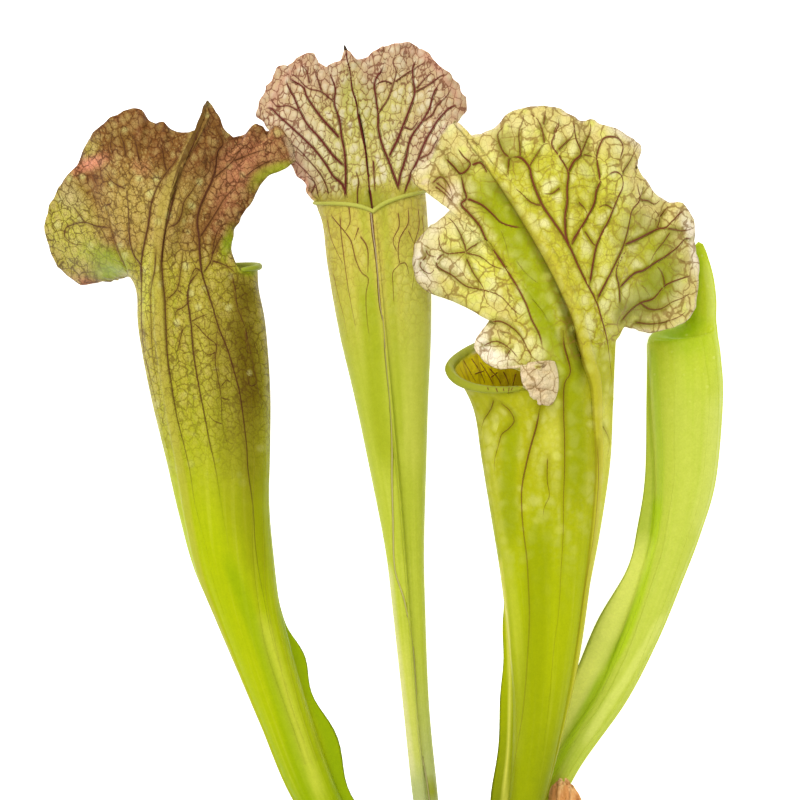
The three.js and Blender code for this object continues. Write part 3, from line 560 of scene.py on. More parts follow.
FRONT["veins"] = {
    "main": [
        [461, 175, 463, 187, 466, 200, 461, 205, 469, 215, 479, 227, 486, 242, 495, 255, 506, 272, 516, 288,
         525, 306, 530, 320, 538, 336, 541, 352, 540, 362],
        [508, 160, 519, 160, 528, 170, 530, 179, 534, 192, 541, 208, 551, 223, 560, 236, 568, 250, 576, 268,
         584, 284, 594, 303, 600, 322, 605, 340, 608, 360, 611, 383, 613, 406],
        [568, 250, 564, 239, 563, 228, 563, 217, 565, 205, 565, 190, 566, 175, 558, 160, 550, 147, 553, 138,
         557, 126, 554, 114],
        [566, 175, 572, 164, 579, 156, 574, 141, 572, 126, 572, 119],
        [568, 246, 576, 234, 584, 221, 592, 205, 594, 194, 598, 183, 597, 175, 595, 160, 598, 148, 603, 140,
         615, 140, 621, 148, 618, 161, 615, 173],
        [594, 302, 599, 292, 610, 271, 622, 245, 627, 226, 630, 212, 638, 201, 636, 187, 637, 176],
        [587, 286, 594, 248, 599, 236, 606, 223, 611, 211, 616, 199, 621, 187, 619, 177, 613, 174, 605, 178,
         598, 183],
        [622, 246, 632, 242, 642, 237, 656, 230, 665, 228, 672, 221, 680, 213, 686, 210],
        [618, 304, 617, 288, 614, 271, 625, 250],
        [617, 289, 633, 274, 642, 271, 654, 263, 664, 257, 676, 248, 684, 239, 690, 234],
        [619, 322, 630, 310, 640, 303, 652, 299, 664, 286, 680, 279, 694, 275],
        [539, 404, 535, 426, 530, 444, 526, 460, 521, 487, 521, 510, 523, 533, 526, 556, 528, 587, 529, 617,
         527, 660, 523, 710, 515, 760, 508, 805],
        [471, 167, 480, 165, 487, 176], [446, 160, 453, 167, 461, 175, 470, 166, 463, 158, 456, 148],
        [466, 200, 472, 202, 482, 207, 492, 216, 500, 224, 510, 228, 522, 230],
        # Inside the mouth
        [463, 360, 470, 372, 478, 386], [471, 358, 480, 372, 488, 391], [480, 362, 490, 378, 497, 393],
        [489, 368, 499, 380, 503, 392], [503, 371, 508, 382, 507, 394], [516, 373, 513, 384, 508, 394],
        [474, 374, 484, 371], [490, 378, 498, 372],
    ],
    "side": [
        [519, 160, 519, 152, 518, 134, 522, 121, 520, 114],
        [508, 160, 502, 154, 498, 144, 497, 136, 505, 127], [508, 160, 507, 170, 507, 180],
        [528, 169, 536, 156, 543, 147, 550, 147], [543, 147, 541, 134, 536, 122, 527, 115],
        [542, 128, 544, 114], [579, 156, 584, 144, 589, 131, 588, 123], [581, 157, 595, 160],
        [620, 175, 628, 163, 635, 150, 638, 144], [638, 200, 642, 187, 642, 178],
        [638, 201, 647, 202, 653, 205, 660, 200], [656, 230, 658, 218, 652, 209], [658, 218, 668, 206],
        [666, 229, 682, 231, 693, 229], [669, 233, 662, 243, 654, 253, 648, 264],
        [690, 239, 684, 239, 680, 247], [556, 153, 562, 147, 570, 139, 573, 130], [552, 136, 556, 126],
        [569, 247, 579, 231], [582, 233, 593, 247, 596, 242, 604, 230],
        [478, 244, 466, 253, 480, 258, 492, 267, 506, 272],
        [466, 253, 463, 242, 458, 231, 451, 221, 445, 217],
        [466, 253, 455, 254, 446, 254, 440, 247, 438, 236],
        [446, 254, 438, 259, 437, 266, 452, 276, 466, 287, 483, 291, 499, 297, 516, 314, 527, 318],
        [426, 250, 428, 255, 437, 258], [427, 256, 420, 266, 430, 274, 437, 266],
        [466, 259, 473, 274, 483, 290, 484, 303],
        [489, 323, 499, 322, 512, 329, 521, 339, 527, 351, 533, 361],
        [483, 346, 495, 342, 507, 348, 518, 360], [510, 349, 504, 359],
        [561, 331, 562, 346, 568, 368, 568, 374, 563, 383, 562, 411, 563, 441, 563, 472, 562, 502, 562, 533,
         560, 571, 558, 610, 553, 650, 549, 700, 543, 750],
        [493, 400, 490, 409, 483, 421, 480, 434],
        [500, 403, 509, 411, 513, 421, 507, 429, 501, 434, 498, 444, 494, 460, 494, 475],
        [546, 457, 546, 480, 548, 495, 543, 507, 542, 518],
        [596, 441, 597, 480, 593, 533, 588, 564, 582, 602, 577, 640, 570, 680, 563, 720, 554, 770],
        [601, 425, 608, 440, 606, 458], [638, 302, 648, 309, 660, 309, 672, 302, 684, 297, 693, 290],
        [634, 322, 648, 324, 664, 322, 680, 316, 688, 309], [664, 286, 661, 274, 655, 266],
        [540, 208, 530, 205, 520, 196, 513, 190], [611, 211, 603, 207, 596, 210],
        [558, 190, 550, 196, 541, 196], [576, 204, 583, 212, 586, 218],
        [432, 184, 441, 178, 449, 187, 453, 202], [435, 187, 445, 195, 453, 204],
        [436, 183, 444, 190, 452, 199],
    ],
    "fine": [
        [506, 128, 519, 131, 528, 134, 540, 131], [520, 150, 530, 146, 541, 148],
        [533, 160, 545, 158, 556, 160], [535, 175, 548, 168, 558, 166], [538, 190, 550, 184, 563, 186],
        [545, 205, 556, 200, 565, 202], [557, 128, 565, 128, 573, 131], [556, 153, 566, 156, 577, 156],
        [572, 175, 584, 178, 596, 177], [568, 190, 580, 188, 596, 191], [568, 205, 577, 207, 586, 215],
        [563, 220, 573, 222, 582, 224], [600, 168, 608, 166, 615, 170], [600, 190, 610, 192, 619, 192],
        [597, 205, 606, 204, 614, 206], [590, 228, 600, 226, 605, 228], [602, 256, 611, 257, 618, 252],
        [628, 185, 632, 175, 640, 170], [640, 215, 648, 218, 657, 222], [660, 245, 668, 246, 676, 250],
        [668, 262, 672, 270, 680, 272], [676, 258, 684, 262, 692, 260], [640, 285, 646, 292, 650, 298],
        [668, 290, 672, 296, 680, 298], [470, 142, 480, 150, 492, 165, 505, 178, 514, 190],
        [470, 215, 480, 213, 488, 216], [500, 232, 505, 246, 508, 262], [515, 262, 525, 275, 537, 285],
        [510, 285, 522, 292], [530, 300, 540, 312, 546, 322], [520, 308, 512, 300, 506, 292],
        [452, 262, 460, 270, 466, 280], [470, 268, 480, 272, 488, 282],
    ],
}

# Patches of another tone: each holds its radius in pixels, its strength, and the line that it follows, with
# x and y in turn. Many stand for light: the shade patches are mostly painted shade in folds, creases and
# beside the keel, the lit patches partly painted light, and the young leaf's cream and flush patches painted
# light.
LEFT["patches"] = {
    "fresh": [
        (7, 0.9, [293, 165, 276, 168, 260, 175, 252, 187]), (7, 0.8, [232, 228, 228, 246, 225, 258]),
        (5, 0.7, [238, 269, 252, 272, 260, 268]), (15, 0.9, [126, 262, 108, 260, 90, 250]),
        (8, 0.8, [90, 273, 108, 273, 122, 270]), (8, 0.6, [228, 560, 262, 650, 290, 740, 316, 830]),
        (9, 0.8, [284, 612, 300, 660, 316, 705, 330, 740, 342, 800, 360, 860]),
    ],
    "flush": [
        (7, 0.9, [74, 170, 82, 166, 92, 163, 104, 159]), (9, 0.45, [140, 166, 146, 172]),
        (6, 0.5, [74, 281, 88, 282]), (24, 0.52, [225, 190, 245, 160, 276, 146]),
        (14, 0.25, [222, 225, 228, 200]),
    ],
    "lit": [
        (34, 1.0, [60, 212, 66, 242]), (16, 0.5, [88, 255, 72, 262]), (9, 0.5, [92, 146, 86, 152]),
        (10, 0.45, [150, 250, 149, 285, 147, 320]), (9, 0.5, [262, 620, 280, 680, 300, 745, 320, 800]),
    ],
    # Painted shade down the tube's right side, which is also darker skin, beside the midrib's keel and at the
    # lobe's inner end, with darker blotches on the hood
    "shade": [
        (13, 1.0, [234, 280, 244, 292, 246, 315]), (15, 0.95, [242, 310, 246, 350, 250, 390, 251, 425]),
        (13, 0.5, [251, 420, 252, 455, 254, 490]), (15, 0.22, [253, 485, 255, 530, 258, 585]),
        (20, 0.45, [224, 300, 228, 350, 230, 410, 236, 460]), (20, 0.28, [232, 440, 236, 490, 246, 550]),
        (14, 0.4, [152, 176, 166, 184]), (10, 0.3, [245, 174, 255, 164]),
        (6, 0.5, [190, 200, 178, 235, 172, 262]), (8, 0.6, [110, 273, 118, 270, 125, 268]),
        (11, 0.35, [104, 140, 118, 136, 132, 146]),
    ],
    "cream": [
        (4, 0.5, [286, 137, 292, 150, 294, 160]), (12, 0.3, [64, 190, 74, 204]),
    ],
}

MIDDLE["patches"] = {
    "fresh": [
        (6, 0.45, [382, 205, 387, 248, 391, 290, 394, 340, 398, 400, 400, 440]),
        (5, 0.4, [362, 205, 370, 262, 374, 310, 379, 360]), (13, 0.9, [360, 196, 384, 198]),
        (10, 0.75, [406, 188, 416, 184]), (8, 0.25, [346, 76, 343, 100]), (6, 0.25, [366, 84, 371, 96]),
        (8, 0.2, [414, 112, 426, 108]), (9, 0.25, [402, 440, 404, 500, 407, 560]),
        (11, 0.75, [366, 280, 370, 320, 374, 360, 380, 420, 390, 470]), (6, 0.7, [430, 782, 432, 800]),
    ],
    "flush": [
        (4, 0.4, [268, 108, 284, 76, 305, 58]), (4, 0.4, [400, 48, 425, 55, 450, 84, 461, 104]),
        (7, 0.5, [292, 150, 302, 175, 310, 190]),
    ],
    "lit": [
        (12, 0.5, [406, 245, 411, 285, 417, 320, 414, 400, 412, 470]),
        (9, 0.5, [400, 640, 408, 700, 416, 770]), (14, 0.8, [397, 152, 390, 175]),
        (18, 0.85, [322, 154, 342, 178]), (13, 0.55, [350, 70, 352, 95, 360, 125]),
    ],
    "shade": [
        (5, 0.8, [431, 785, 433, 800]),
    ],
    "cream": [
        (22, 0.5, [298, 122, 316, 150, 330, 176]), (20, 0.45, [394, 136, 402, 152, 408, 168]),
        (5, 0.4, [388, 570, 395, 640, 403, 706, 412, 780]), (12, 0.6, [418, 164, 428, 176]),
        (7, 0.5, [444, 118, 438, 134]),
    ],
}

FRONT["patches"] = {
    # The deep green beside the midrib and over the right lobe is partly painted shade of the fold beside the
    # midrib and under the lobe
    "fresh": [
        (16, 0.85, [474, 182, 493, 210, 509, 237, 526, 268, 540, 298, 550, 328]),
        (9, 0.6, [507, 148, 503, 140]), (14, 0.75, [558, 345, 568, 380, 574, 430, 574, 500]),
        (9, 0.8, [512, 420, 509, 455, 508, 500, 512, 540]),
        (22, 0.65, [632, 310, 648, 296, 660, 272, 654, 244]),
        (15, 0.8, [538, 520, 535, 620, 530, 700, 525, 800, 516, 870]),
        (13, 0.9, [524, 292, 536, 312, 546, 335, 556, 362]),
    ],
    "flush": [
        (9, 0.5, [434, 183, 447, 190, 452, 200]),
    ],
    "lit": [
        (12, 0.5, [552, 420, 550, 455]), (15, 0.85, [452, 236, 472, 242, 478, 262, 486, 288]),
        (8, 0.6, [472, 196, 484, 208]), (16, 0.5, [600, 165, 614, 195, 618, 215]),
        (6, 0.2, [485, 425, 493, 490, 505, 560, 514, 610, 522, 680, 518, 760]),
        # The thin pale line down the wing's edge is a painted highlight
        (2, 0.9, [500, 560, 507, 620, 510, 680, 509, 740, 505, 800, 500, 860]),
        (7, 0.6, [604, 400, 606, 450, 601, 520, 592, 580]), (10, 0.6, [448, 285, 470, 300, 490, 318]),
        (9, 0.6, [600, 240, 604, 262, 606, 290]),
    ],
    # Painted shade: in the fold beside the midrib, where the right lobe meets the hood, over the right lobe
    # and at the hood's upper left
    "shade": [
        (8, 1.0, [489, 182, 507, 207, 524, 234, 539, 259, 553, 287, 565, 315, 573, 346, 578, 380]),
        (9, 1.0, [619, 318, 626, 308]), (11, 0.5, [632, 314, 645, 302]), (9, 0.35, [534, 300, 545, 322]),
        (22, 0.6, [632, 312, 650, 296, 664, 272, 672, 246]), (14, 0.45, [652, 232, 636, 222, 626, 246]),
        (12, 0.4, [500, 128, 506, 150, 512, 172]), (7, 0.5, [455, 165, 462, 172, 472, 160]),
    ],
    "cream": [
        (9, 0.9, [419, 246, 418, 266, 430, 284]), (13, 0.5, [428, 250, 440, 262, 456, 270]),
        (12, 0.4, [458, 232, 470, 238, 476, 250]), (8, 0.6, [440, 226, 426, 236]),
        (10, 0.9, [482, 328, 480, 345, 492, 358, 508, 362]), (9, 0.7, [418, 172, 428, 160]),
        (8, 0.7, [450, 208, 456, 190]), (7, 0.8, [682, 214, 694, 240, 697, 272]),
        (8, 0.7, [612, 129, 630, 137, 638, 148]),
    ],
}

YOUNG["patches"] = {
    # Painted light on the thin wing, which light shines through and which would otherwise lie in the tube's
    # shade
    "cream": [
        (11, 0.65, [646, 545, 636, 572, 619, 612, 600, 652]),
        (11, 0.95, [600, 652, 578, 692, 560, 728, 545, 760]),
    ],
    "fresh": [
        (4, 0.35, [655, 350, 659, 410, 662, 476, 660, 520]),
        (9, 0.9, [655, 336, 672, 334, 688, 329, 700, 322]),
        (9, 0.9, [696, 250, 694, 280, 692, 305, 690, 322]), (12, 0.5, [678, 345, 700, 342]),
    ],
    # Painted light: the crease's saturated green, made brighter against the shade of the crease
    "flush": [
        (5, 0.7, [659, 500, 657, 527, 650, 560, 640, 600, 625, 643, 604, 680, 590, 706, 578, 727, 562, 759,
                  550, 785]),
    ],
    # Painted light, most of it on the wing and at the foot
    "lit": [
        (5, 0.9, [664, 618, 648, 646, 630, 676, 606, 712, 586, 745]),
        (8, 0.5, [714, 400, 710, 470, 696, 530]), (9, 0.5, [588, 694, 572, 708, 556, 736]),
        (5, 0.5, [708, 265, 713, 295, 712, 320]),
        (13, 0.9, [640, 545, 628, 585, 610, 625, 594, 660, 575, 700, 560, 735]),
    ],
    # Painted shade along the crease beside the wing
    "shade": [
        (1.6, 0.3, [652, 348, 651, 400, 655, 476, 655, 510]),
        (1.6, 0.6, [656, 500, 653, 527, 646, 570, 636, 603, 623, 638, 610, 666, 595, 692, 577, 724]),
    ],
}


def srgb(*levels):
    """A surface colour from the 0 to 255 levels that it shows under the stage's light."""
    parts = [level / 255 for level in levels]
    return tuple((p / 12.92 if p <= 0.04045 else ((p + 0.055) / 1.055) ** 2.4) / STAGE_GAIN for p in parts)


def place(points):
    """Points of the view as millimetres in the plant's frame."""
    p = np.asarray(points, float)
    turned = np.stack([p[..., 0] * MM_PER_PIXEL, -p[..., 1] * MM_PER_PIXEL, p[..., 2]], -1)
    return turned + VIEW_CORNER


def unit(vectors):
    """The vectors at a length of 1."""
    return vectors / np.maximum(np.linalg.norm(vectors, axis=-1, keepdims=True), 1e-9)


def ease(low, high, value):
    """0 below low, 1 above high, and smooth between them."""
    f = np.clip((np.asarray(value, float) - low) / (high - low), 0, 1)
    return f * f * (3 - 2 * f)


def crowd(share):
    """Shares from -1 to 1, drawn closer together near 0."""
    return share * (0.45 + 0.55 * np.abs(share))


class Line:
    """A smooth line through points, read by its share of the whole length."""

    def __init__(self, points, steps=24):
        p = np.asarray(points, float)
        p = np.vstack([2 * p[0] - p[1], p, 2 * p[-1] - p[-2]])
        gaps = np.maximum(np.linalg.norm(np.diff(p, axis=0), axis=1) ** 0.5, 1e-6)[:, None]
        slopes = np.diff(p, axis=0) / gaps
        tangents = slopes[:-1] - (p[2:] - p[:-2]) / (gaps[:-1] + gaps[1:]) + slopes[1:]
        a, b = p[1:-2, None], p[2:-1, None]
        ta, tb = (tangents[:-1] * gaps[1:-1])[:, None], (tangents[1:] * gaps[1:-1])[:, None]
        f = np.linspace(0, 1, steps, endpoint=False)[None, :, None]
        drawn = a + f * (ta + f * (3 * (b - a) - 2 * ta - tb + f * (ta + tb - 2 * (b - a))))
        self.drawn = np.vstack([drawn.reshape(-1, p.shape[1]), p[-2]])
        lengths = np.linalg.norm(np.diff(self.drawn, axis=0), axis=1)
        self.shares = np.concatenate([[0], np.cumsum(lengths)])
        self.length = self.shares[-1]
        self.shares /= self.length

    def at(self, share):
        """The points at these shares of the length."""
        return np.stack([np.interp(share, self.shares, column) for column in self.drawn.T], -1)

    def spread(self, spacing):
        """Evenly spaced points, about this far apart."""
        return self.at(np.linspace(0, 1, max(2, round(self.length / spacing)) + 1))


class Rings:
    """A tube's rings at many shares of its station list."""

    def __init__(self, stations, shares):
        self.shares = np.asarray(shares, float)
        step = 0.01
        now = self.stations_at(stations, self.shares)
        ahead = self.middle(self.stations_at(stations, np.minimum(self.shares + step, 1)))
        behind = self.middle(self.stations_at(stations, np.maximum(self.shares - step, 0)))
        left, right = place(now[:, [0, 1, 4]]), place(now[:, [2, 3, 4]])
        self.centre = (left + right) / 2
        self.half_width = np.linalg.norm(right - left, axis=1) / 2
        self.across = unit(right - left)
        self.along = unit(ahead - behind)
        self.up = unit(np.cross(self.across, self.along))
        self.turn = np.radians(now[:, 5])
        self.wing = np.maximum(now[:, 6], 0)

    @staticmethod
    def stations_at(stations, shares):
        """Stations at any share of the list, on a smooth curve through its own."""
        table = np.asarray(stations, float)
        last = len(table) - 1
        i = np.minimum((shares * last).astype(int), last - 1)
        f = (shares * last - i)[:, None]
        a, b, c, d = (table[np.clip(i + k, 0, last)] for k in (-1, 0, 1, 2))
        slope_b, slope_c, rise = (c - a) / 2, (d - b) / 2, c - b
        return b + f * (slope_b + f * (3 * rise - 2 * slope_b - slope_c + f * (slope_b + slope_c - 2 * rise)))

    @staticmethod
    def middle(now):
        """The centres of these stations, placed in the plant's frame."""
        return place(np.stack([(now[:, 0] + now[:, 2]) / 2, (now[:, 1] + now[:, 3]) / 2, now[:, 4]], -1))

    def points(self, sides, depth):
        """A grid of points, one row for each ring and one column for each side."""
        angle = self.turn[:, None] + np.asarray(sides)[None, :] * math.pi
        wide = (self.half_width[:, None] * np.sin(angle))[..., None] * self.across[:, None]
        deep = (self.half_width[:, None] * depth * np.cos(angle))[..., None] * self.up[:, None]
        return self.centre[:, None] + wide + deep

    def seam(self):
        """The direction from each ring's centre to the seam, opposite the midrib."""
        angle = (self.turn + math.pi)[:, None]
        return np.sin(angle) * self.across + np.cos(angle) * self.up


class Skin:
    """A surface built row by row, with named measures at each point."""

    def __init__(self):
        self.points = np.zeros((0, 3))
        self.measures = {}
        self.faces = []

    def add(self, points, **measures):
        """Adds points with their measures, and returns the points' numbers in the same arrangement."""
        points = np.asarray(points, float)
        shape = points.shape[:-1]
        first = len(self.points)
        self.points = np.vstack([self.points, points.reshape(-1, 3)])
        for name in set(self.measures) | set(measures):
            old = self.measures.get(name, np.zeros(first))
            new = np.broadcast_to(np.asarray(measures.get(name, 0.0), float), shape).reshape(-1)
            self.measures[name] = np.concatenate([old, new])
        return np.arange(first, len(self.points)).reshape(shape)

    def grid(self, ids):
        """Quads over a grid of point numbers, each row above the one before it."""
        quads = np.stack([ids[:-1, :-1], ids[:-1, 1:], ids[1:, 1:], ids[1:, :-1]], -1).reshape(-1, 4)
        self.faces.extend(tuple(dict.fromkeys(q)) for q in quads.tolist() if len(set(q)) > 2)

    def zip(self, lower, lower_at, upper, upper_at):
        """Triangles between two rows whose points stand at different places."""
        i = j = 0
        while i < len(lower) - 1 or j < len(upper) - 1:
            next_lower = lower_at[i + 1] if i < len(lower) - 1 else math.inf
            next_upper = upper_at[j + 1] if j < len(upper) - 1 else math.inf
            if next_lower <= next_upper + 1e-9:
                face = (lower[i], lower[i + 1], upper[j])
                i += 1
            else:
                face = (lower[i], upper[j + 1], upper[j])
                j += 1
            if len(set(face)) == 3:
                self.faces.append(tuple(int(n) for n in face))

    def fan(self, row, tip):
        """Triangles from a row to one point."""
        self.faces.extend((int(b), int(a), int(tip)) for a, b in zip(row[:-1], row[1:]))

    def normals(self):
        """The direction out of the skin at each point."""
        first = [(f[0], f[1], f[2]) for f in self.faces]
        second = [(f[0], f[2], f[3]) for f in self.faces if len(f) == 4]
        t = np.array(first + second)
        a, b, c = (self.points[t[:, k]] for k in range(3))
        face = np.cross(b - a, c - a)
        total = np.zeros_like(self.points)
        for k in range(3):
            np.add.at(total, t[:, k], face)
        return unit(total)

    def thicken(self, thickness):
        """A second skin below this one, joined to it along the free edges."""
        count = len(self.points)
        under = self.points - self.normals() * np.broadcast_to(thickness, (count,))[:, None]
        edges = np.array([(f[k], f[(k + 1) % len(f)]) for f in self.faces for k in range(len(f))])
        free = edges[~np.isin(edges[:, 0] * count + edges[:, 1], edges[:, 1] * count + edges[:, 0])]
        self.points = np.vstack([self.points, under])
        for name, values in self.measures.items():
            self.measures[name] = np.concatenate([values, values])
        self.measures["inner"] = np.repeat([0.0, 1.0], count)
        self.faces.extend([tuple(n + count for n in reversed(f)) for f in self.faces])
        self.faces.extend((int(b), int(a), int(a) + count, int(b) + count) for a, b in free)

    def prune(self):
        """Drops the points that no face uses."""
        used = np.zeros(len(self.points), bool)
        used[[n for face in self.faces for n in face]] = True
        number = np.cumsum(used) - 1
        self.points = self.points[used]
        self.measures = {name: values[used] for name, values in self.measures.items()}
        self.faces = [tuple(int(number[n]) for n in face) for face in self.faces]

    def eased(self, values, weights, times):
        """Draws each point's value towards the mean of its neighbours, by its weight."""
        edges = np.array([(f[k], f[(k + 1) % len(f)]) for f in self.faces for k in range(len(f))])
        edges = np.unique(np.sort(edges, axis=1), axis=0)
        edges = edges[(weights[edges] > 0).any(axis=1)]
        ends, others = np.concatenate([edges, edges[:, ::-1]]).T
        count = np.maximum(np.bincount(ends, minlength=len(values)), 1)[:, None]
        values = values.copy()
        for _ in range(times):
            middle = np.zeros_like(values)
            np.add.at(middle, ends, values[others])
            values += (middle / count - values) * 0.5 * weights[:, None]
        return values

    def tree(self):
        return BVHTree.FromPolygons(self.points.tolist(), self.faces)

    def nearest(self, spots, where=None, extra=None):
        """Distance from each point, or those in where, to the nearest spot, plus that spot's extra."""
        finder = KDTree(len(spots))
        for i, spot in enumerate(spots):
            finder.insert(spot, i)
        finder.balance()
        chosen = self.points if where is None else self.points[where]
        found = [finder.find(p) for p in chosen]
        extra = np.zeros(len(spots)) if extra is None else extra
        return np.array([gap + extra[index] for _, index, gap in found])


def running(grid, axis, start):
    """Distance along a grid's rows or columns, counted from the given row or column."""
    steps = np.linalg.norm(np.diff(grid, axis=axis), axis=2)
    total = np.concatenate([np.zeros_like(np.take(steps, [0], axis)), np.cumsum(steps, axis=axis)], axis=axis)
    return total - np.take(total, [start], axis)


def smooth_line(points, times):
    """The same row of points with its short waves smoothed away and its ends kept."""
    calm = points.copy()
    for _ in range(times):
        calm[1:-1] = (calm[:-2] + 2 * calm[1:-1] + calm[2:]) / 4
    return calm


def half_hood(neck, rise, midrib, edge_points, margin_points, tip, shares_u, shares_v):
    """A grid of points, rows up from the neck and columns out from the midrib, between four lines."""
    corner, start = neck[-1], place(margin_points[0])
    edge = Line(np.vstack([corner, place(edge_points), start]))
    margin = Line(np.vstack([place(margin_points), tip]))
    u, v = shares_u[None, :, None], shares_v[:, None, None]
    rim = margin.at(1 - shares_u)
    calm = smooth_line(rim, CALM_TIMES)
    at_edge, at_midrib = edge.at(shares_v)[:, None], midrib.at(shares_v)[:, None]
    grid = (1 - v) * neck[None] + v * calm[None] + (1 - u) * at_midrib + u * at_edge
    grid = grid - (1 - u) * (1 - v) * neck[0] - (1 - u) * v * tip - u * (1 - v) * corner - u * v * start
    grid = grid + (rim - calm)[None] * v**4
    return grid + v * (1 - v) ** 2 * (1 - u**4) * rise


def start_tube(rings, sides, tube):
    """A new skin that holds a tube's points with its foot closed. Its last column is its first one again."""
    skin = Skin()
    along = running(tube, 0, len(tube) - 1)
    ids = skin.add(tube[:, :-1], side=sides[None, :-1], along=along[:, :-1], hood=0, lip=0)
    ids = np.hstack([ids, ids[:, :1]])
    foot = skin.add(rings.centre[0] - rings.along[0] * FOOT_LENGTH, along=along[0, 0])
    skin.fan(ids[0], foot)
    skin.rings, skin.tube_ids, skin.tube_sides = rings, ids, sides
    skin.foot_ids = np.append(ids[0], foot)
    for name in ("rim", "rib"):
        skin.measures[name] = np.full(len(skin.points), FAR)
    return skin


def measure_midrib(skin, line):
    """Distance from the midrib with its sign, on the half of the leaf that it runs along."""
    side = skin.measures["side"]
    near = np.abs(side) < 0.5
    skin.measures["rib"][~near] = FAR
    skin.measures["rib"][near] = skin.nearest(line, near) * np.where(side[near] < 0, -1, 1)


def open_pitcher(leaf, sizes):
    """The outer skin of an open pitcher leaf: tube, rolled lip and hood."""
    neck_side = leaf["neck_angle"] / 180
    fin = np.linspace(FIN_START, 1, FIN_COLUMNS + 1)
    lip_sides = np.concatenate([np.linspace(neck_side, FIN_START, LIP_COLUMNS)[:-1], fin])
    neck_sides = neck_side * crowd(np.linspace(-1, 1, NECK_COLUMNS + 1))
    sides = np.concatenate([-lip_sides[::-1], neck_sides[1:-1], lip_sides])
    rings = Rings(leaf["stations"], np.linspace(0, 1, TUBE_ROWS + 1))
    mouth = Rings(leaf["stations"], [1.0])

    def dipped(rings, at):
        """The rings' points, slanted and notched towards the mouth."""
        slant = np.maximum(0, (rings.shares - SLANT_FROM) / (1 - SLANT_FROM))[:, None] ** 2
        slant = slant * np.cos(rings.turn[:, None] + np.asarray(at)[None] * math.pi)
        notch = ease(NOTCH_FROM, 1, rings.shares)[:, None] * np.exp(-((1 - np.abs(at)) / NOTCH_WIDTH))[None]
        drop = np.where(slant > 0, leaf["mouth_dip"], leaf["mouth_lift"]) * slant + notch * leaf["notch"]
        return rings.points(at, sizes.section_depth) - drop[..., None] * MM_PER_PIXEL * rings.along[:, None]

    skin = start_tube(rings, sides, dipped(rings, sides))
    ids = skin.tube_ids
    skin.grid(ids[:-1])

    # The mouth's ring takes extra points along the neck, for the finer hood
    fine = neck_side * crowd(np.linspace(-1, 1, 2 * HALF_HOOD_COLUMNS + 1))
    neck = dipped(mouth, fine)[0]
    minus_corner, plus_corner = len(lip_sides) - 1, len(sides) - len(lip_sides)
    inner_ids = skin.add(neck[1:-1], side=fine[1:-1])
    neck_ids = np.concatenate([[ids[-1, minus_corner]], inner_ids, [ids[-1, plus_corner]]])
    mouth_ids = np.concatenate([ids[-1, :minus_corner], neck_ids, ids[-1, plus_corner + 1 :]])
    mouth_at = np.concatenate([sides[:minus_corner], fine, sides[plus_corner + 1 :]])
    skin.zip(ids[-2], sides, mouth_ids, mouth_at)

    # Rolled lip, from the plus corner round the seam to the minus corner
    ring_ids = np.concatenate([ids[-1, plus_corner:], ids[-1, 1 : minus_corner + 1]])
    ring_at = np.concatenate([sides[plus_corner:], sides[1 : minus_corner + 1]])
    on_lip = dipped(mouth, ring_at)[0]
    out = on_lip - mouth.centre
    out = unit(out - (out @ mouth.along[0])[:, None] * mouth.along[0])
    roll = sizes.lip_roll * leaf["lip_size"] * np.sin(np.linspace(0, math.pi, len(ring_at))) ** LIP_FULLNESS
    rows = [ring_ids]
    for angle in np.radians(np.linspace(0, LIP_TURN, LIP_ROWS + 1)[1:]):
        rolled = on_lip + (roll * (1 - math.cos(angle)))[:, None] * out
        rolled = rolled + (roll * math.sin(angle))[:, None] * mouth.along[0]
        row = skin.add(rolled[1:-1], side=ring_at[1:-1], along=angle, lip=1)
        rows.append(np.concatenate([ring_ids[:1], row, ring_ids[-1:]]))
    skin.grid(np.array(rows))
    skin.measures["lip"][ring_ids[1:-1]] = 1

    # Hood, as two halves that meet on the midrib
    tip = place(leaf["tip"])
    midrib = Line(np.vstack([neck[HALF_HOOD_COLUMNS], place(leaf["midrib"]), tip]))
    shares_u = crowd(np.linspace(0, 1, HALF_HOOD_COLUMNS + 1))
    shares_v = np.linspace(0, 1, HOOD_ROWS + 1)
    rise = mouth.along[0] * sizes.hood_rise
    minus, plus = (
        half_hood(half, rise, midrib, leaf[name + "_edge"], leaf[name + "_margin"], tip, shares_u, shares_v)
        for name, half in (("minus", neck[HALF_HOOD_COLUMNS::-1]), ("plus", neck[HALF_HOOD_COLUMNS:]))
    )
    hood = np.hstack([minus[:, :0:-1], plus])
    hood_ids = skin.add(hood[1:], side=fine[None], along=running(hood, 0, 0)[1:], hood=1)
    skin.grid(np.vstack([neck_ids, hood_ids]))

    # The neck is eased, so that the tube flows into the hood
    hooded, along = skin.measures["hood"] > 0, skin.measures["along"]
    near_neck = np.where(hooded, 1 - ease(*RELAX_ABOVE, along), ease(*RELAX_BELOW, along))
    inside = 1 - ease(*RELAX_SIDES, np.abs(skin.measures["side"]) / neck_side)
    skin.points = skin.eased(skin.points, near_neck * inside * (1 - skin.measures["lip"]), RELAX_TIMES)

    margin = np.vstack([hood[:, 0], hood[-1], hood[:, -1]])
    skin.measures["rim"][:] = FAR
    skin.measures["rim"][hood_ids.reshape(-1)] = skin.nearest(margin, hood_ids.reshape(-1))
    up_tube = ids[:-1, len(sides) // 2]
    measure_midrib(skin, Line(skin.points[np.append(up_tube, hood_ids[:, HALF_HOOD_COLUMNS])], steps=8).drawn)
    return skin


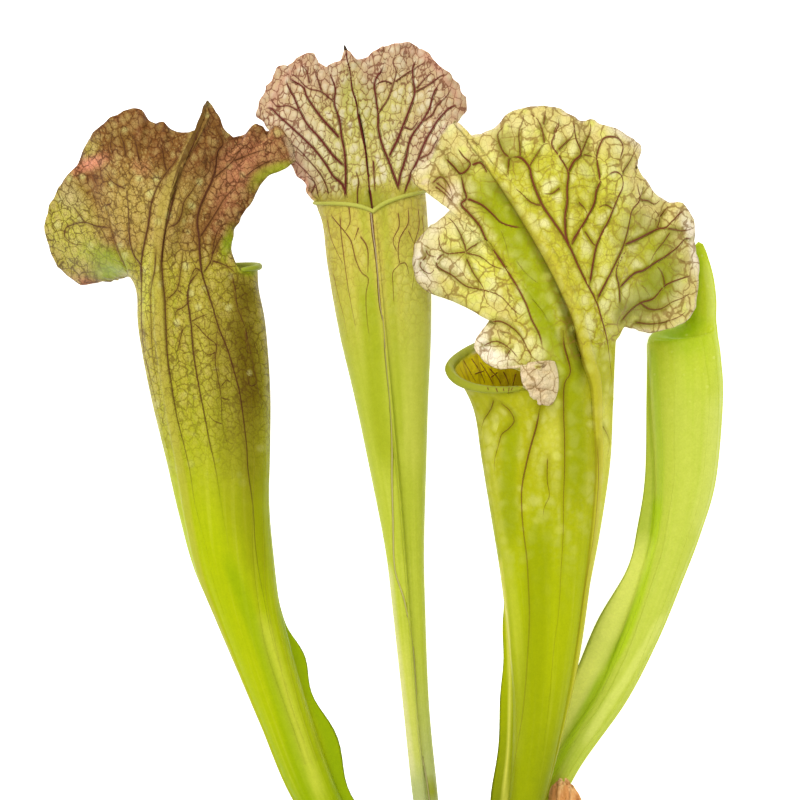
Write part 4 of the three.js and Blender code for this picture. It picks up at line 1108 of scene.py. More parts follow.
def closed_pitcher(leaf, sizes):
    """The skin of an unopened leaf, from its foot to the tip of the folded lid."""
    fin = np.linspace(FIN_START, 1, FIN_COLUMNS + 1)
    half = np.concatenate([np.linspace(0, FIN_START, HALF_YOUNG_COLUMNS)[:-1], fin])
    sides = np.concatenate([-half[::-1], half[1:]])
    rings = Rings(leaf["stations"], np.linspace(0, 1, 2 * TUBE_ROWS + 1))
    tube = rings.points(sides, sizes.section_depth)
    skin = start_tube(rings, sides, tube)
    ids = skin.tube_ids
    skin.grid(ids)
    skin.fan(ids[-1][::-1], skin.add(rings.centre[-1] + rings.along[-1] * FOOT_LENGTH, rim=FAR))
    measure_midrib(skin, tube[:, len(sides) // 2])
    return skin


def raise_wing(skin, leaf, sizes):
    """Draws the wing out along the seam, as a fin of even thickness."""
    rings, sides = skin.rings, skin.tube_sides[:-1]
    share = np.clip((np.abs(sides) - FIN_START) / (1 - FIN_START), 0, 1)[None, :, None]
    seam = rings.seam()
    swing, period, crest = leaf.get("wing_wave", (0, 1, 0))
    wave = 1 + swing * np.cos((rings.shares - crest) / period * 2 * math.pi)
    out = share * (rings.wing * wave)[:, None, None] * seam[:, None]
    sideways = np.cross(seam, rings.along)[:, None]
    flat = rings.points(sides, sizes.section_depth) - rings.points([1.0], sizes.section_depth)
    aside = (flat * sideways).sum(axis=2, keepdims=True)
    slim = np.sign(aside) * np.minimum(sizes.wing_thickness / 2, np.abs(aside))
    pinch = ease(0, 0.5, share) * (rings.wing > FIN_LEAST)[:, None, None]
    skin.points[skin.tube_ids[:, :-1].reshape(-1)] += (out + (slim - aside) * pinch * sideways).reshape(-1, 3)


def on_floor(line):
    """The points of a line that lists x and y in turn, with a height of 0."""
    spots = np.reshape(np.array(line, float), (-1, 2))
    return np.hstack([spots, np.zeros((len(spots), 1))])


def trace(tree, line):
    """Where a line of the view lies on the surface below it, cut where that ends or steps."""
    runs, run = [], []
    for spot in place(Line(on_floor(line)).spread(VEIN_STEP / MM_PER_PIXEL)):
        hit = tree.ray_cast(Vector((spot[0], spot[1], SKY)), Vector((0, 0, -1)))[0]
        if hit is None or (run and abs(hit.z - run[-1].z) > VEIN_JUMP):
            runs.append(run)
            run = []
        if hit is not None:
            run.append(hit)
    return [r for r in [*runs, run] if len(r) > VEIN_LEAST]


def ring_vein(skin, side, low, high, seed):
    """A vein that runs up the tube at one side of the midrib, with a little wander."""
    last = len(skin.tube_ids) - 1
    rows = np.arange(round(low * last), round(high * last) + 1, 2)
    columns = np.interp(side, skin.tube_sides, np.arange(len(skin.tube_sides)))
    for reach, turn, shift in VEIN_WANDER:
        columns = columns + reach * np.sin(rows * turn + shift * seed)
    i = columns.astype(int)
    f = (columns - i)[:, None]
    spots = skin.points[skin.tube_ids[rows, i]] * (1 - f) + skin.points[skin.tube_ids[rows, i + 1]] * f
    return [Vector(p) for p in Line(spots).spread(VEIN_STEP)]


class VeinNet:
    """Raised veins on a finished skin: slim ribs whose edges lie on it and share its measures."""

    def __init__(self, skin, slim):
        self.skin = skin
        self.slim = slim  # how much slimmer the veins are on the tube than on the hood
        self.tree = skin.tree()
        self.names = list(skin.measures)
        self.hood = self.names.index("hood")
        self.table = np.stack([skin.measures[name] for name in self.names], 1)
        self.points, self.values, self.veins, self.faces = [], [], [], []

    def read(self, spot, face):
        """The skin's measures at a spot on one of its faces."""
        ids = list(self.skin.faces[face])
        weights = poly_3d_calc([Vector(self.skin.points[i]) for i in ids], spot)
        return np.dot(weights, self.table[ids])

    def mirror(self, path, widths, strengths, normals, wall):
        """The rib's twin on the other face, wherever that is there."""
        path = [p - Vector(n) * wall for p, n in zip(path, normals)]
        facing = np.array([self.tree.find_nearest(p)[1] for p in path])
        good = (facing * normals).sum(axis=1) < -0.3
        breaks = np.flatnonzero(np.diff(np.concatenate([[0], good, [0]])))
        for start, end in breaks.reshape(-1, 2):
            if end - start > VEIN_LEAST:
                self.lay(path[start:end], widths[start:end], strengths[start:end])

    def lay(self, path, widths, strengths):
        """One rib along a path near the skin. Returns the skin's normals there."""
        found = [self.tree.find_nearest(p) for p in path]
        spots = np.array([hit[0] for hit in found])
        normals = np.array([hit[1] for hit in found])
        facing = unit(smooth_line(normals, 3))
        ahead = unit(np.gradient(spots, axis=0))
        aside = unit(np.cross(facing, ahead))
        first = len(self.points)
        for k, (spot, normal, side) in enumerate(zip(spots, facing, aside)):
            here = self.read(Vector(spot), found[k][2])
            width = widths[k] * (1 - self.slim * (1 - here[self.hood]))
            for reach in (-width, 0, width):
                if reach == 0:
                    self.points.append(spot + normal * VEIN_LIFT)
                    self.values.append(here)
                    continue
                edge, _, face, gap = self.tree.find_nearest(Vector(spot + side * reach))
                near = gap < width
                self.points.append(np.array(edge) - normal * VEIN_EDGE if near else spot + side * reach)
                self.values.append(self.read(edge, face) if near else here)
            self.points.append(spot - normal * VEIN_ROOT)
            self.values.append(here)
            self.veins += [0.0, strengths[k], 0.0, 0.0]
        ids = np.arange(first, first + 4 * len(spots)).reshape(-1, 4).tolist()
        for low, high in zip(ids[:-1], ids[1:]):
            self.faces += [(low[k], high[k], high[(k + 1) % 4], low[(k + 1) % 4]) for k in range(4)]
        self.faces += [tuple(ids[0]), tuple(reversed(ids[-1]))]
        return normals

    def join(self):
        """Adds the ribs to the skin."""
        count = len(self.skin.points)
        values = np.array(self.values)
        self.skin.points = np.vstack([self.skin.points, np.array(self.points)])
        for k, name in enumerate(self.names):
            self.skin.measures[name] = np.concatenate([self.skin.measures[name], values[:, k]])
        self.skin.measures["vein"] = np.concatenate([np.zeros(count), self.veins])
        self.skin.faces += [tuple(n + count for n in face) for face in self.faces]


def tone_patches(skin, patches):
    """A measure from 0 to 1 for each tone, from the patches drawn in the view, which fade at their ends."""
    flat = skin.points[:, :2]
    for tone in TONES:
        clear = 1 - skin.measures.get(tone, np.zeros(len(flat)))
        for radius, strength, line in patches.get(tone, []):
            reach = radius * MM_PER_PIXEL
            spots = Line(place(on_floor(line))).spread(reach / PATCH_STEPS)[:, :2]
            ends = np.minimum(np.arange(len(spots)), np.arange(len(spots))[::-1]) / PATCH_STEPS
            cover = np.zeros(len(flat))
            for spot, end in zip(spots, ends):
                near = 1 - ease(*PATCH_EDGE, np.linalg.norm(flat - spot, axis=1) / reach)
                cover = np.maximum(cover, near * min(1, PATCH_TIP + end / PATCH_TIP_LENGTH))
            clear = clear * (1 - strength * cover)
        skin.measures[tone] = 1 - clear


def add_frill(skin, root_line, free_line):
    """The ruffled end of the hood's margin, which hangs over the lip."""
    u, v = np.linspace(0, 1, FRILL_COLUMNS + 1), np.linspace(0, 1, FRILL_ROWS + 1)
    root, free = (Line(place(line)).at(v)[:, None] for line in (root_line, free_line))
    grid = root + (free - root) * u[None, :, None]
    folds = np.zeros(grid.shape[:2])
    for height, turns, outward, rise in FRILL_FOLDS:
        folds += height * np.sin(v[:, None] * turns + u[None] * outward) * ease(0, rise, u)[None]
    ends = np.sin(v * math.pi)[:, None]
    grid[..., 2] += folds * ends**0.3 + FRILL_CROWN * np.sin(u * math.pi)[None] * ends**0.5
    rim = -running(grid, 1, FRILL_COLUMNS)
    ids = skin.add(grid, rim=rim, rib=FAR, halo=FAR, **FRILL_PLACE, **FRILL_TONES)
    skin.grid(ids[:, ::-1])


def shape_face(skin, leaf):
    """Ruffles the margin, then raises the band beside the midrib and sinks the channel along it."""
    measures = skin.measures
    near = np.flatnonzero(measures["rim"] < MARGIN_WIDTH)
    noise.seed_set(RUFFLE_SEED)
    ruffle = [noise.noise_vector(Vector(p) * MARGIN_RUFFLES) for p in skin.points[near]]
    ruffle = np.reshape(ruffle, (-1, 3))
    height = leaf["ruffle"] * (1 - ease(0, MARGIN_WIDTH, measures["rim"][near]))
    skin.points[near] += ruffle * height[:, None]
    keel, along, rib = leaf["keel"], measures["along"], measures["rib"]
    aside = rib * keel["facing"] if keel["facing"] else np.abs(rib) + keel["width"] / 2
    edge = ease(*BAND_EDGE, aside)
    band = edge * (1 - ease(keel["width"] * BAND_END[0], keel["width"] * BAND_END[1], aside))
    band = band * np.where(measures["hood"] > 0, 1 - BAND_SUNK * ease(*BAND_FADE, along), 1)
    band = band * ease(keel["from"], keel["from"] + BAND_START, along)
    valley = np.exp(-((aside / keel["valley_width"]) ** 2)) * (1 - edge)
    valley = valley * ease(*VALLEY_START, along) * (1 - measures["lip"])
    height = band * keel["height"] - valley * keel["valley"]
    skin.points = skin.points + skin.normals() * height[:, None]
    measures["band"] = band


def finish_leaf(skin, leaf, sizes, solid=False):
    """Midrib, swelling between the veins, second skin, wing and raised veins."""
    measures = skin.measures
    shape_face(skin, leaf)
    lines = [(kind, line) for kind, group in leaf["veins"].items() for line in group]
    rings = [ring_vein(skin, side, low, high, k) for k, (side, low, high) in enumerate(leaf["ring_veins"])]
    tree = skin.tree()
    runs = [run for kind, line in lines if kind != "fine" for run in trace(tree, line)] + rings
    fading = [HALO_FADE * ease(0.4, 1, np.linspace(0, 1, len(run))) for run in runs]
    measures["halo"] = skin.nearest([p for run in runs for p in run], extra=np.concatenate(fading))
    swell = (1 - np.exp(-((measures["halo"] / SWELL_WIDTH) ** 2))) * (1 - measures["lip"])
    swell = swell * np.where(measures["hood"] > 0, 1, ease(*SWELL_START, measures["along"]))
    skin.points = skin.points + skin.normals() * (swell * leaf["swell"])[:, None]

    if solid:
        measures["inner"] = np.zeros(len(skin.points))
    else:
        near_neck = 1 - ease(*CROWN_REACH, np.abs(measures["along"]))
        crown = skin.eased(measures["hood"][:, None], near_neck * (1 - measures["lip"]), CROWN_TIMES)
        measures["hood"] = crown[:, 0]
        if "frill" in leaf:
            add_frill(skin, *leaf["frill"])
        thickness = np.where(skin.measures["lip"] > 0, leaf["lip_wall"], sizes.wall)
        thickness[skin.foot_ids] = min(sizes.wall, skin.rings.half_width[0] * FOOT_WALL)
        skin.thicken(thickness)
    raise_wing(skin, leaf, sizes)
    tone_patches(skin, leaf["patches"])

    net = VeinNet(skin, leaf["slim_veins"])
    runs = [(kind, run) for kind, line in lines for run in trace(net.tree, line)]
    for kind, run in [*runs, *(("ring", run) for run in rings)]:
        start, end = VEIN_WIDTHS[kind]
        share = np.linspace(0, 1, len(run))
        taper = ease(-0.02, 0.05, share) * (1 - ease(leaf["vein_end"], 1, share))
        taper = np.maximum(taper, kind in ("rib", "seam"))
        fade = 0 if kind == "rib" else leaf["vein_fade"]
        slimmer = VEIN_SLIMMEST + (1 - VEIN_SLIMMEST) * taper
        fainter = VEIN_FAINTEST + (1 - VEIN_FAINTEST) * taper
        widths = leaf["vein_size"] * (start + (end - start) * share) * slimmer
        strengths = VEIN_STRENGTHS[kind] * (1 - fade * share) * fainter
        normals = net.lay(run, widths, strengths)
        if not solid and kind in MIRRORED:
            net.mirror(run, widths, strengths, normals, sizes.wall)
    net.join()
    skin.prune()


def make_object(name, points, faces, measures=None):
    """A smooth mesh object from points in millimetres."""
    mesh = bpy.data.meshes.new(name)
    mesh.from_pydata((np.asarray(points) * MM).tolist(), [], faces)
    mesh.polygons.foreach_set("use_smooth", [True] * len(mesh.polygons))
    for key, values in (measures or {}).items():
        layer = mesh.attributes.new(key, "FLOAT", "POINT")
        layer.data.foreach_set("value", np.asarray(values, np.float32))
    mesh.update()
    piece = bpy.data.objects.new(name, mesh)
    bpy.context.scene.collection.objects.link(piece)
    return piece


def claim(piece, node, material):
    """The piece takes its material and stands for its node of the frame."""
    piece.data.materials.append(material)
    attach(piece, "root")
    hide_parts(node)


class Nodes:
    """Builds the nodes of one material. A value given to a socket may be another node's output."""

    def __init__(self, name):
        self.material = bpy.data.materials.new(name)
        self.material.use_nodes = True
        self.tree = self.material.node_tree
        self.shader = self.tree.nodes["Principled BSDF"]

    def set(self, node, key, value):
        socket = node.inputs[key]
        if isinstance(value, bpy.types.NodeSocket):
            self.tree.links.new(value, socket)
        else:
            socket.default_value = value

    def new(self, kind, inputs, **settings):
        node = self.tree.nodes.new(kind)
        for key, value in settings.items():
            setattr(node, key, value)
        for key, value in inputs.items():
            self.set(node, key, value)
        return node

    def measure(self, name):
        """A measure stored on the mesh."""
        return self.new("ShaderNodeAttribute", {}, attribute_name=name).outputs["Fac"]

    def spot(self):
        """The place on the object, in metres."""
        return self.new("ShaderNodeTexCoord", {}).outputs["Object"]

    def math(self, operation, a, b=0.0):
        return self.new("ShaderNodeMath", {0: a, 1: b}, operation=operation).outputs[0]

    def times(self, *values):
        total = values[0]
        for value in values[1:]:
            total = self.math("MULTIPLY", total, value)
        return total

    def ease(self, value, low, high, start=0.0, end=1.0):
        """A smooth change from start to end while the value goes from low to high."""
        inputs = {"Value": value, "From Min": low, "From Max": high, "To Min": start, "To Max": end}
        return self.new("ShaderNodeMapRange", inputs, interpolation_type="SMOOTHSTEP").outputs[0]

    def mix(self, factor, a, b, blend="MIX"):
        a, b = ((*c, 1) if isinstance(c, tuple) and len(c) == 3 else c for c in (a, b))
        inputs = {0: factor, 6: a, 7: b}
        return self.new("ShaderNodeMix", inputs, data_type="RGBA", blend_type=blend).outputs[2]

    def noise(self, scale, detail=2.0, vector=None):
        inputs = {"Vector": vector or self.spot(), "Scale": scale, "Detail": detail}
        return self.new("ShaderNodeTexNoise", inputs).outputs["Fac"]

    def cells(self, vector, feature="DISTANCE_TO_EDGE", scale=1.0):
        """Distance in uneven cells, from their edges or with F1 from their middles."""
        inputs = {"Vector": vector, "Scale": scale, "Randomness": 0.85}
        return self.new("ShaderNodeTexVoronoi", inputs, feature=feature).outputs["Distance"]

    def vector(self, x, y, z=0.0):
        return self.new("ShaderNodeCombineXYZ", {"X": x, "Y": y, "Z": z}).outputs[0]

    def turned(self, degrees, size, length):
        """Coordinates that count cells of this size in mm, turned in the floor's plane.

        They are longer along the leaf, and drawn out upwards, so that a leaf lying flat cuts cleanly
        through them.
        """
        turn = self.new("ShaderNodeVectorRotate", {"Vector": self.spot(), "Angle": math.radians(degrees)})
        turn.rotation_type = "Z_AXIS"
        scale = (1 / (size * MM), 1 / (size * length * MM), CELL_SQUASH / (size * MM))
        inputs = {0: turn.outputs[0], 1: scale}
        return self.new("ShaderNodeVectorMath", inputs, operation="MULTIPLY").outputs[0]

    def wander(self, vector, scale, amount):
        """The vector, pushed about by noise."""
        noise = self.new("ShaderNodeTexNoise", {"Vector": vector, "Scale": scale, "Detail": 1.0})
        centred = self.new("ShaderNodeVectorMath", {0: noise.outputs["Color"], 1: (0.5, 0.5, 0.5)})
        centred.operation = "SUBTRACT"
        pushed = self.new("ShaderNodeVectorMath", {0: centred.outputs[0], 1: (amount,) * 3, 2: vector})
        pushed.operation = "MULTIPLY_ADD"
        return pushed.outputs[0]

    def spots(self, vector, radius, share):
        """Round spots in some of the cells of the vector's grid."""
        node = self.new("ShaderNodeTexVoronoi", {"Vector": vector, "Scale": 1.0}, feature="F1")
        chance = self.new("ShaderNodeSeparateColor", {0: node.outputs["Color"]}).outputs[0]
        size = self.ease(chance, 0.0, 1.0, radius * 0.7, radius * 1.3)
        near = self.ease(self.math("DIVIDE", node.outputs["Distance"], size), 1.0, 0.3)
        return self.times(near, self.ease(chance, 1 - share, 1.02 - share))

    def bump(self, height, distance, strength):
        inputs = {"Height": height, "Distance": distance, "Strength": strength}
        self.set(self.shader, "Normal", self.new("ShaderNodeBump", inputs).outputs[0])

    def finish(self, colour, roughness, constants):
        """Joins the colour and roughness to the shader, sets its other values, and returns the material."""
        self.set(self.shader, "Base Color", colour)
        self.set(self.shader, "Roughness", roughness)
        for key, value in constants.items():
            self.shader.inputs[key].default_value = value
        return self.material


def leaf_material(name, tints, look):
    """Leaf skin: tones up the leaf, pale cells, a fine net, darker skin beside the veins, and the veins."""
    n = Nodes(name + "_skin")
    side, along, hood, inner, lip = (n.measure(key) for key in ("side", "along", "hood", "inner", "lip"))
    rim, halo, vein, band, rib = (n.measure(key) for key in ("rim", "halo", "vein", "band", "rib"))
    tones = {tone: n.measure(tone) for tone in TONES}

    def over(factor, colour, tint):
        """The colour with one of the leaf's tints over it."""
        return n.mix(factor, colour, getattr(tints, tint)[:])

    def less(value, share=1.0):
        return n.math("SUBTRACT", 1.0, n.times(value, share))

    # Tones from foot to margin
    colour = over(n.ease(along, look["foot_until"] - 35, look["foot_until"] + 35), tints.foot[:], "tube")
    colour = over(n.ease(along, *look["shoulder"]), colour, "shoulder")
    if "crest" in look:
        hood_tone = over(n.ease(rim, *look["crest"]), tints.hood[:], "crest")
        colour = n.mix(n.times(hood, n.ease(along, -2, look["hood_by"])), colour, hood_tone)
    streaks = n.noise(STREAKS, 2, n.vector(side, n.times(along, STREAK_LENGTH)))
    striped = n.times(less(hood, 0.7), look["streaks"])
    colour = over(n.times(n.ease(streaks, 0.45, 0.75, 0, 0.35), striped), colour, "fresh")
    colour = over(n.times(n.ease(streaks, 0.5, 0.25, 0, 0.35), striped), colour, "lit")
    # Painted shade and painted light from the patches, with the deep green ones, partly standing for shade in
    # folds
    for tone in ("shade", "lit", "fresh"):
        colour = over(tones[tone], colour, tone)
    colour = over(n.times(band, look["band"]), colour, "band")

    # Cells: pale middles and round spots, in the upper tube and the hood
    lively = n.math("MAXIMUM", hood, n.ease(along, *look["net_from"]))
    lively = n.times(lively, less(tones["fresh"], look["fresh_calm"]), less(band, 0.4), less(lip))
    large = n.wander(n.wander(n.turned(look["turn"], look["cell"], look["cell_length"]), 0.9, 0.8), 3.0, 0.3)
    middle = n.cells(large, "F1")
    small = n.wander(n.turned(look["turn"], look["small_cell"], look["cell_length"]), 1.1, 0.7)
    pale = n.ease(middle, 0.6, 0.2, 0, look["pale"])
    pale = n.math("MAXIMUM", pale, n.ease(n.cells(small, "F1"), 0.5, 0.15, 0, look["small_pale"]))
    # The pale cells fade under the painted shade patches
    patchy = n.times(n.ease(n.noise(PATCHES, 2), 0.35, 0.65, 0.45, 1.0), less(tones["shade"], 0.9))
    shown = n.times(lively, n.ease(hood, 0.0, 1.0, look["tube_pale"], 1.0), patchy, n.ease(halo, 0.4, 1.6))
    colour = over(n.times(pale, shown), colour, "pale")
    if "spot_share" in look:
        spots = n.wander(n.turned(look["turn"], look["spot_cell"], 1.0), 0.5, 0.5)
        spots = n.spots(spots, look["spot_radius"], look["spot_share"])
        colour = over(n.times(spots, lively, look["spot_strength"]), colour, "spot")
    # Flush and cream patches, which on the young leaf are painted light
    for tone in ("flush", "cream"):
        colour = over(tones[tone], colour, tone)
    if "margin" in look:
        margin = n.ease(n.math("ADD", rim, n.times(n.noise(MOTTLE, 3), 3.0)), look["margin"], 1.5)
        colour = over(n.times(margin, look["margin_strength"]), colour, "margin")

    # The net between the cells, and the skin beside the veins
    webbed = n.times(lively, n.ease(hood, 0.0, 1.0, look["tube_net"], 1.0))
    colour = over(n.times(n.ease(n.cells(small), 0.07, 0.02, 0, look["small_net"]), webbed), colour, "net")
    if "net" in look:
        width = n.ease(n.noise(NET_CHANGES, 2), 0.35, 0.65, look["net_width"] * 0.4, look["net_width"])
        net = n.ease(n.math("DIVIDE", n.cells(large), width), 1.4, 0.3, 0, look["net"])
        net = n.times(net, n.ease(middle, 0.12, 0.32), webbed, n.ease(rim, 8, 24, 1.0, look["calm_middle"]))
        colour = over(net, colour, "net")
    halo = n.ease(halo, look["halo_width"], 0.2, 0, look["halo"])
    colour = over(n.times(halo, n.ease(along, -50, 0, 0.2, 1)), colour, "halo")

    # Inner face of the tube, the lip, the midrib's groove and the veins
    if "throat_veins" in look:
        inside = n.times(inner, less(hood), n.ease(along, *look["throat_until"], 1, 0))
        lines = n.noise(STREAKS, 2, n.vector(side, n.times(along, THROAT_LENGTH)))
        throat = over(n.ease(lines, 0.54, 0.6, 0, look["throat_veins"]), tints.throat[:], "vein")
        colour = over(n.times(lip, 0.85), n.mix(inside, colour, throat), "lip")
        # A dark line along the midrib, partly painted shade in its groove
        edge = look["groove_width"]
        groove = n.ease(n.math("ABSOLUTE", rib), edge, edge * 0.3, 0, look["groove"])
        grooved = n.math("MAXIMUM", hood, n.ease(along, *look["groove_from"], 0, look["tube_groove"]))
        colour = over(n.times(groove, grooved), colour, "groove")
    shown = n.times(n.ease(vein, 0.12, 0.85), n.ease(along, *look["veins_from"], look["faint_veins"], 1))
    colour = over(shown, colour, "vein")
    if "seam" in look:
        colour = over(n.ease(vein, 1.1, 1.5, 0, look["seam"]), colour, "seam")

    grain = n.noise(GRAIN, 2)
    speckles = n.mix(n.noise(SPECKLES, 4), (0.9, 0.93, 0.78), (1.08, 1.06, 1.2))
    colour = n.mix(1.0, colour, speckles, "MULTIPLY")
    colour = n.mix(1.0, colour, n.mix(grain, (0.88, 0.88, 0.86), (1.1, 1.1, 1.12)), "MULTIPLY")
    bulge = n.times(n.ease(middle, 0.75, 0.2, -look.get("net", 0), look["pale"]), lively, CELL_RELIEF)
    n.bump(n.math("ADD", bulge, n.times(grain, GRAIN_RELIEF)), RELIEF_HEIGHT, RELIEF_STRENGTH)
    satin = n.ease(n.noise(GLOSS_CHANGES, 2), 0.3, 0.7, look["roughness"] - 0.06, look["roughness"] + 0.08)
    return n.finish(colour, satin, {"Specular IOR Level": LEAF_SPECULAR})


def dry_material(name, light, dark, scale, roughness=0.8):
    """Dry plant matter: fibres along the piece, with darker crinkles and specks."""
    n = Nodes(name)
    stretch = {0: n.spot(), 1: FIBRE_STRETCH}
    stretched = n.new("ShaderNodeVectorMath", stretch, operation="MULTIPLY").outputs[0]
    fibres = n.noise(scale, 4, stretched)
    crinkle = n.cells(n.wander(stretched, scale * 0.5, 0.003), scale=scale * 0.6)
    colour = n.mix(n.ease(fibres, 0.35, 0.65), dark, light)
    colour = n.mix(n.ease(crinkle, 0.08, 0.0, 0, 0.3), colour, tuple(c * 0.45 for c in dark))
    colour = n.mix(n.ease(n.noise(scale * 2.2, 2), 0.62, 0.72, 0, 0.5), colour, tuple(c * 0.35 for c in dark))
    n.bump(n.math("ADD", fibres, n.ease(crinkle, 0.0, 0.12)), 0.0005, 0.7)
    rough = n.ease(fibres, 0.3, 0.7, roughness - 0.08, roughness + 0.08)
    return n.finish(colour, rough, {"Specular IOR Level": DRY_SPECULAR})


def properties(label, note, fields):
    """A property group with these fields."""
    return type(label, (bpy.types.PropertyGroup,), {"__annotations__": fields, "__doc__": note})


LENGTHS = {
    "wall": (0.75, "Thickness of a leaf's wall"),
    "lip_roll": (1.3, "Radius of the rolled lip"),
    "hood_rise": (10, "How far the hood follows the tube before it spreads"),
    "wing_thickness": (0.8, "Thickness of the wing on the seam"),
    "root_radius": (0.9, "Radius of a root's base"),
    "stem_radius": (10, "Radius of the creeping stem"),
}  # in mm

size_fields = {
    key: bpy.props.FloatProperty(
        name=key.replace("_", " ").capitalize(), description=note, default=size * MM, min=0, unit="LENGTH"
    )
    for key, (size, note) in LENGTHS.items()
}
size_fields["section_depth"] = bpy.props.FloatProperty(
    name="Section depth",
    description="Depth of a tube's section over its width",
    default=0.9,
    subtype="FACTOR",
)
PitcherSizes = properties("PitcherSizes", "Sizes that the leaves, the stem and the roots share", size_fields)


def sizes_in_mm():
    """The plant's sizes, with the lengths in millimetres."""
    group = bpy.context.scene.pitcher_sizes
    lengths = {key: getattr(group, key) / MM for key in LENGTHS}
    return SimpleNamespace(section_depth=group.section_depth, **lengths)


TINT_NOTES = {
    "foot": "Lowest part of the tube",
    "tube": "Middle of the tube",
    "shoulder": "Upper tube, below the mouth",
    "hood": "Hood",
    "crest": "Hood towards its free edge",
    # Deep green, partly painted shade in the front leaf's folds
    "fresh": "Deep green stripes and patches",
    # Pale stripes of the skin, and patches that are partly painted light
    "lit": "Pale stripes and patches",
    # Mostly painted shade in folds and creases, with some darker skin
    "shade": "Darker stripes and blotches",
    # Rosy on the older leaves; on the young leaf, painted light along its crease
    "flush": "Rosy patches",
    # Creamy on the older leaves; on the young leaf, painted light on its wing
    "cream": "Creamy patches",
    "band": "Flat band beside the midrib",
    "pale": "Middles of the cells between the veins",
    "spot": "Round pale spots",
    "margin": "Free edge of the hood",
    "net": "Fine net of veins",
    "halo": "Skin beside the veins",
    "throat": "Inner face of the tube",
    # Partly painted shade in the midrib's groove
    "groove": "Line along the midrib",
    "vein": "Raised veins",
    "seam": "Seam down the front of the tube",
    "lip": "Rolled lip",
}


def tint_group(label, **levels):
    """A property group of a leaf's colours, from their screen levels. A leaf lists only those that it has."""
    fields = {
        key: bpy.props.FloatVectorProperty(
            name=key.capitalize(), description=note, subtype="COLOR", min=0, max=1, default=srgb(*levels[key])
        )
        for key, note in TINT_NOTES.items()
        if key in levels
    }
    return properties(label, "Colours of one leaf", fields)


LeftTints = tint_group(
    "LeftTints", foot=(142, 164, 0), tube=(174, 186, 4), shoulder=(172, 158, 50), hood=(178, 150, 72),
    crest=(132, 84, 42), fresh=(142, 166, 0), lit=(212, 214, 76), shade=(112, 96, 14),
    flush=(222, 144, 108), cream=(222, 204, 168), band=(174, 158, 68), pale=(204, 180, 108),
    spot=(208, 202, 124), margin=(122, 72, 48), net=(76, 42, 18), halo=(116, 80, 34), throat=(186, 150, 30),
    groove=(92, 66, 22), vein=(80, 42, 24), lip=(150, 162, 50),
)
MiddleTints = tint_group(
    "MiddleTints", foot=(174, 180, 126), tube=(190, 198, 64), shoulder=(202, 188, 78), hood=(218, 208, 116),
    crest=(214, 182, 142), fresh=(160, 170, 20), lit=(212, 212, 92), shade=(104, 96, 20),
    flush=(204, 136, 120), cream=(236, 226, 182), band=(186, 176, 66), pale=(242, 230, 194),
    margin=(186, 124, 104), net=(124, 66, 48), halo=(176, 132, 80), throat=(182, 170, 44),
    groove=(52, 34, 4), vein=(108, 40, 38), seam=(180, 166, 118), lip=(180, 182, 80),
)
FrontTints = tint_group(
    "FrontTints", foot=(124, 134, 8), tube=(174, 184, 0), shoulder=(176, 174, 20), hood=(192, 186, 50),
    crest=(216, 198, 118), fresh=(150, 160, 0), lit=(224, 220, 88), shade=(92, 88, 0),
    flush=(206, 150, 118), cream=(246, 232, 206), band=(200, 188, 56), pale=(230, 224, 152),
    spot=(216, 215, 100), margin=(226, 204, 166), net=(132, 96, 40), halo=(128, 120, 6),
    throat=(212, 194, 8), groove=(118, 98, 8), vein=(110, 50, 30), lip=(150, 154, 44),
)
# The young leaf's cream, flush and lit colours are painted light on its wing and crease, and its shade is
# painted shade along the crease
YoungTints = tint_group(
    "YoungTints", foot=(182, 202, 56), tube=(199, 209, 78), shoulder=(196, 211, 36), fresh=(160, 198, 0),
    lit=(216, 223, 104), shade=(122, 154, 0), flush=(184, 214, 0), cream=(250, 253, 122),
    band=(206, 216, 86), pale=(206, 216, 80), spot=(222, 228, 110), net=(150, 180, 20), halo=(176, 196, 30),
    vein=(176, 196, 30),
)


def grow_leaf(name, leaf, tints, solid=False):
    """One pitcher leaf, from its outlines to its material."""
    sizes = sizes_in_mm()
    skin = (closed_pitcher if solid else open_pitcher)(leaf, sizes)
    finish_leaf(skin, leaf, sizes, solid)
    piece = make_object(name + "_leaf", skin.points, skin.faces, skin.measures)
    claim(piece, name, leaf_material(name, tints, leaf["look"]))


class PITCHER_OT_left(bpy.types.Operator):
    """Grow the left pitcher, seen from its back"""

    bl_idname = "pitcher.left"
    bl_label = "Left Pitcher"

    def execute(self, context):
        grow_leaf("pitcher_left", LEFT, context.scene.left_tints)
        return {"FINISHED"}


class PITCHER_OT_middle(bpy.types.Operator):
    """Grow the middle pitcher, seen from its front"""

    bl_idname = "pitcher.middle"
    bl_label = "Middle Pitcher"

    def execute(self, context):
        grow_leaf("pitcher_middle", MIDDLE, context.scene.middle_tints)
        return {"FINISHED"}


class PITCHER_OT_front(bpy.types.Operator):
    """Grow the big front pitcher, seen from its back and right"""

    bl_idname = "pitcher.front"
    bl_label = "Front Pitcher"

    def execute(self, context):
        grow_leaf("pitcher_front", FRONT, context.scene.front_tints)
        return {"FINISHED"}


class PITCHER_OT_young(bpy.types.Operator):
    """Grow the young pitcher that has not opened"""

    bl_idname = "pitcher.young"
    bl_label = "Young Pitcher"

    def execute(self, context):
        grow_leaf("pitcher_young", YOUNG, context.scene.young_tints, solid=True)
        return {"FINISHED"}


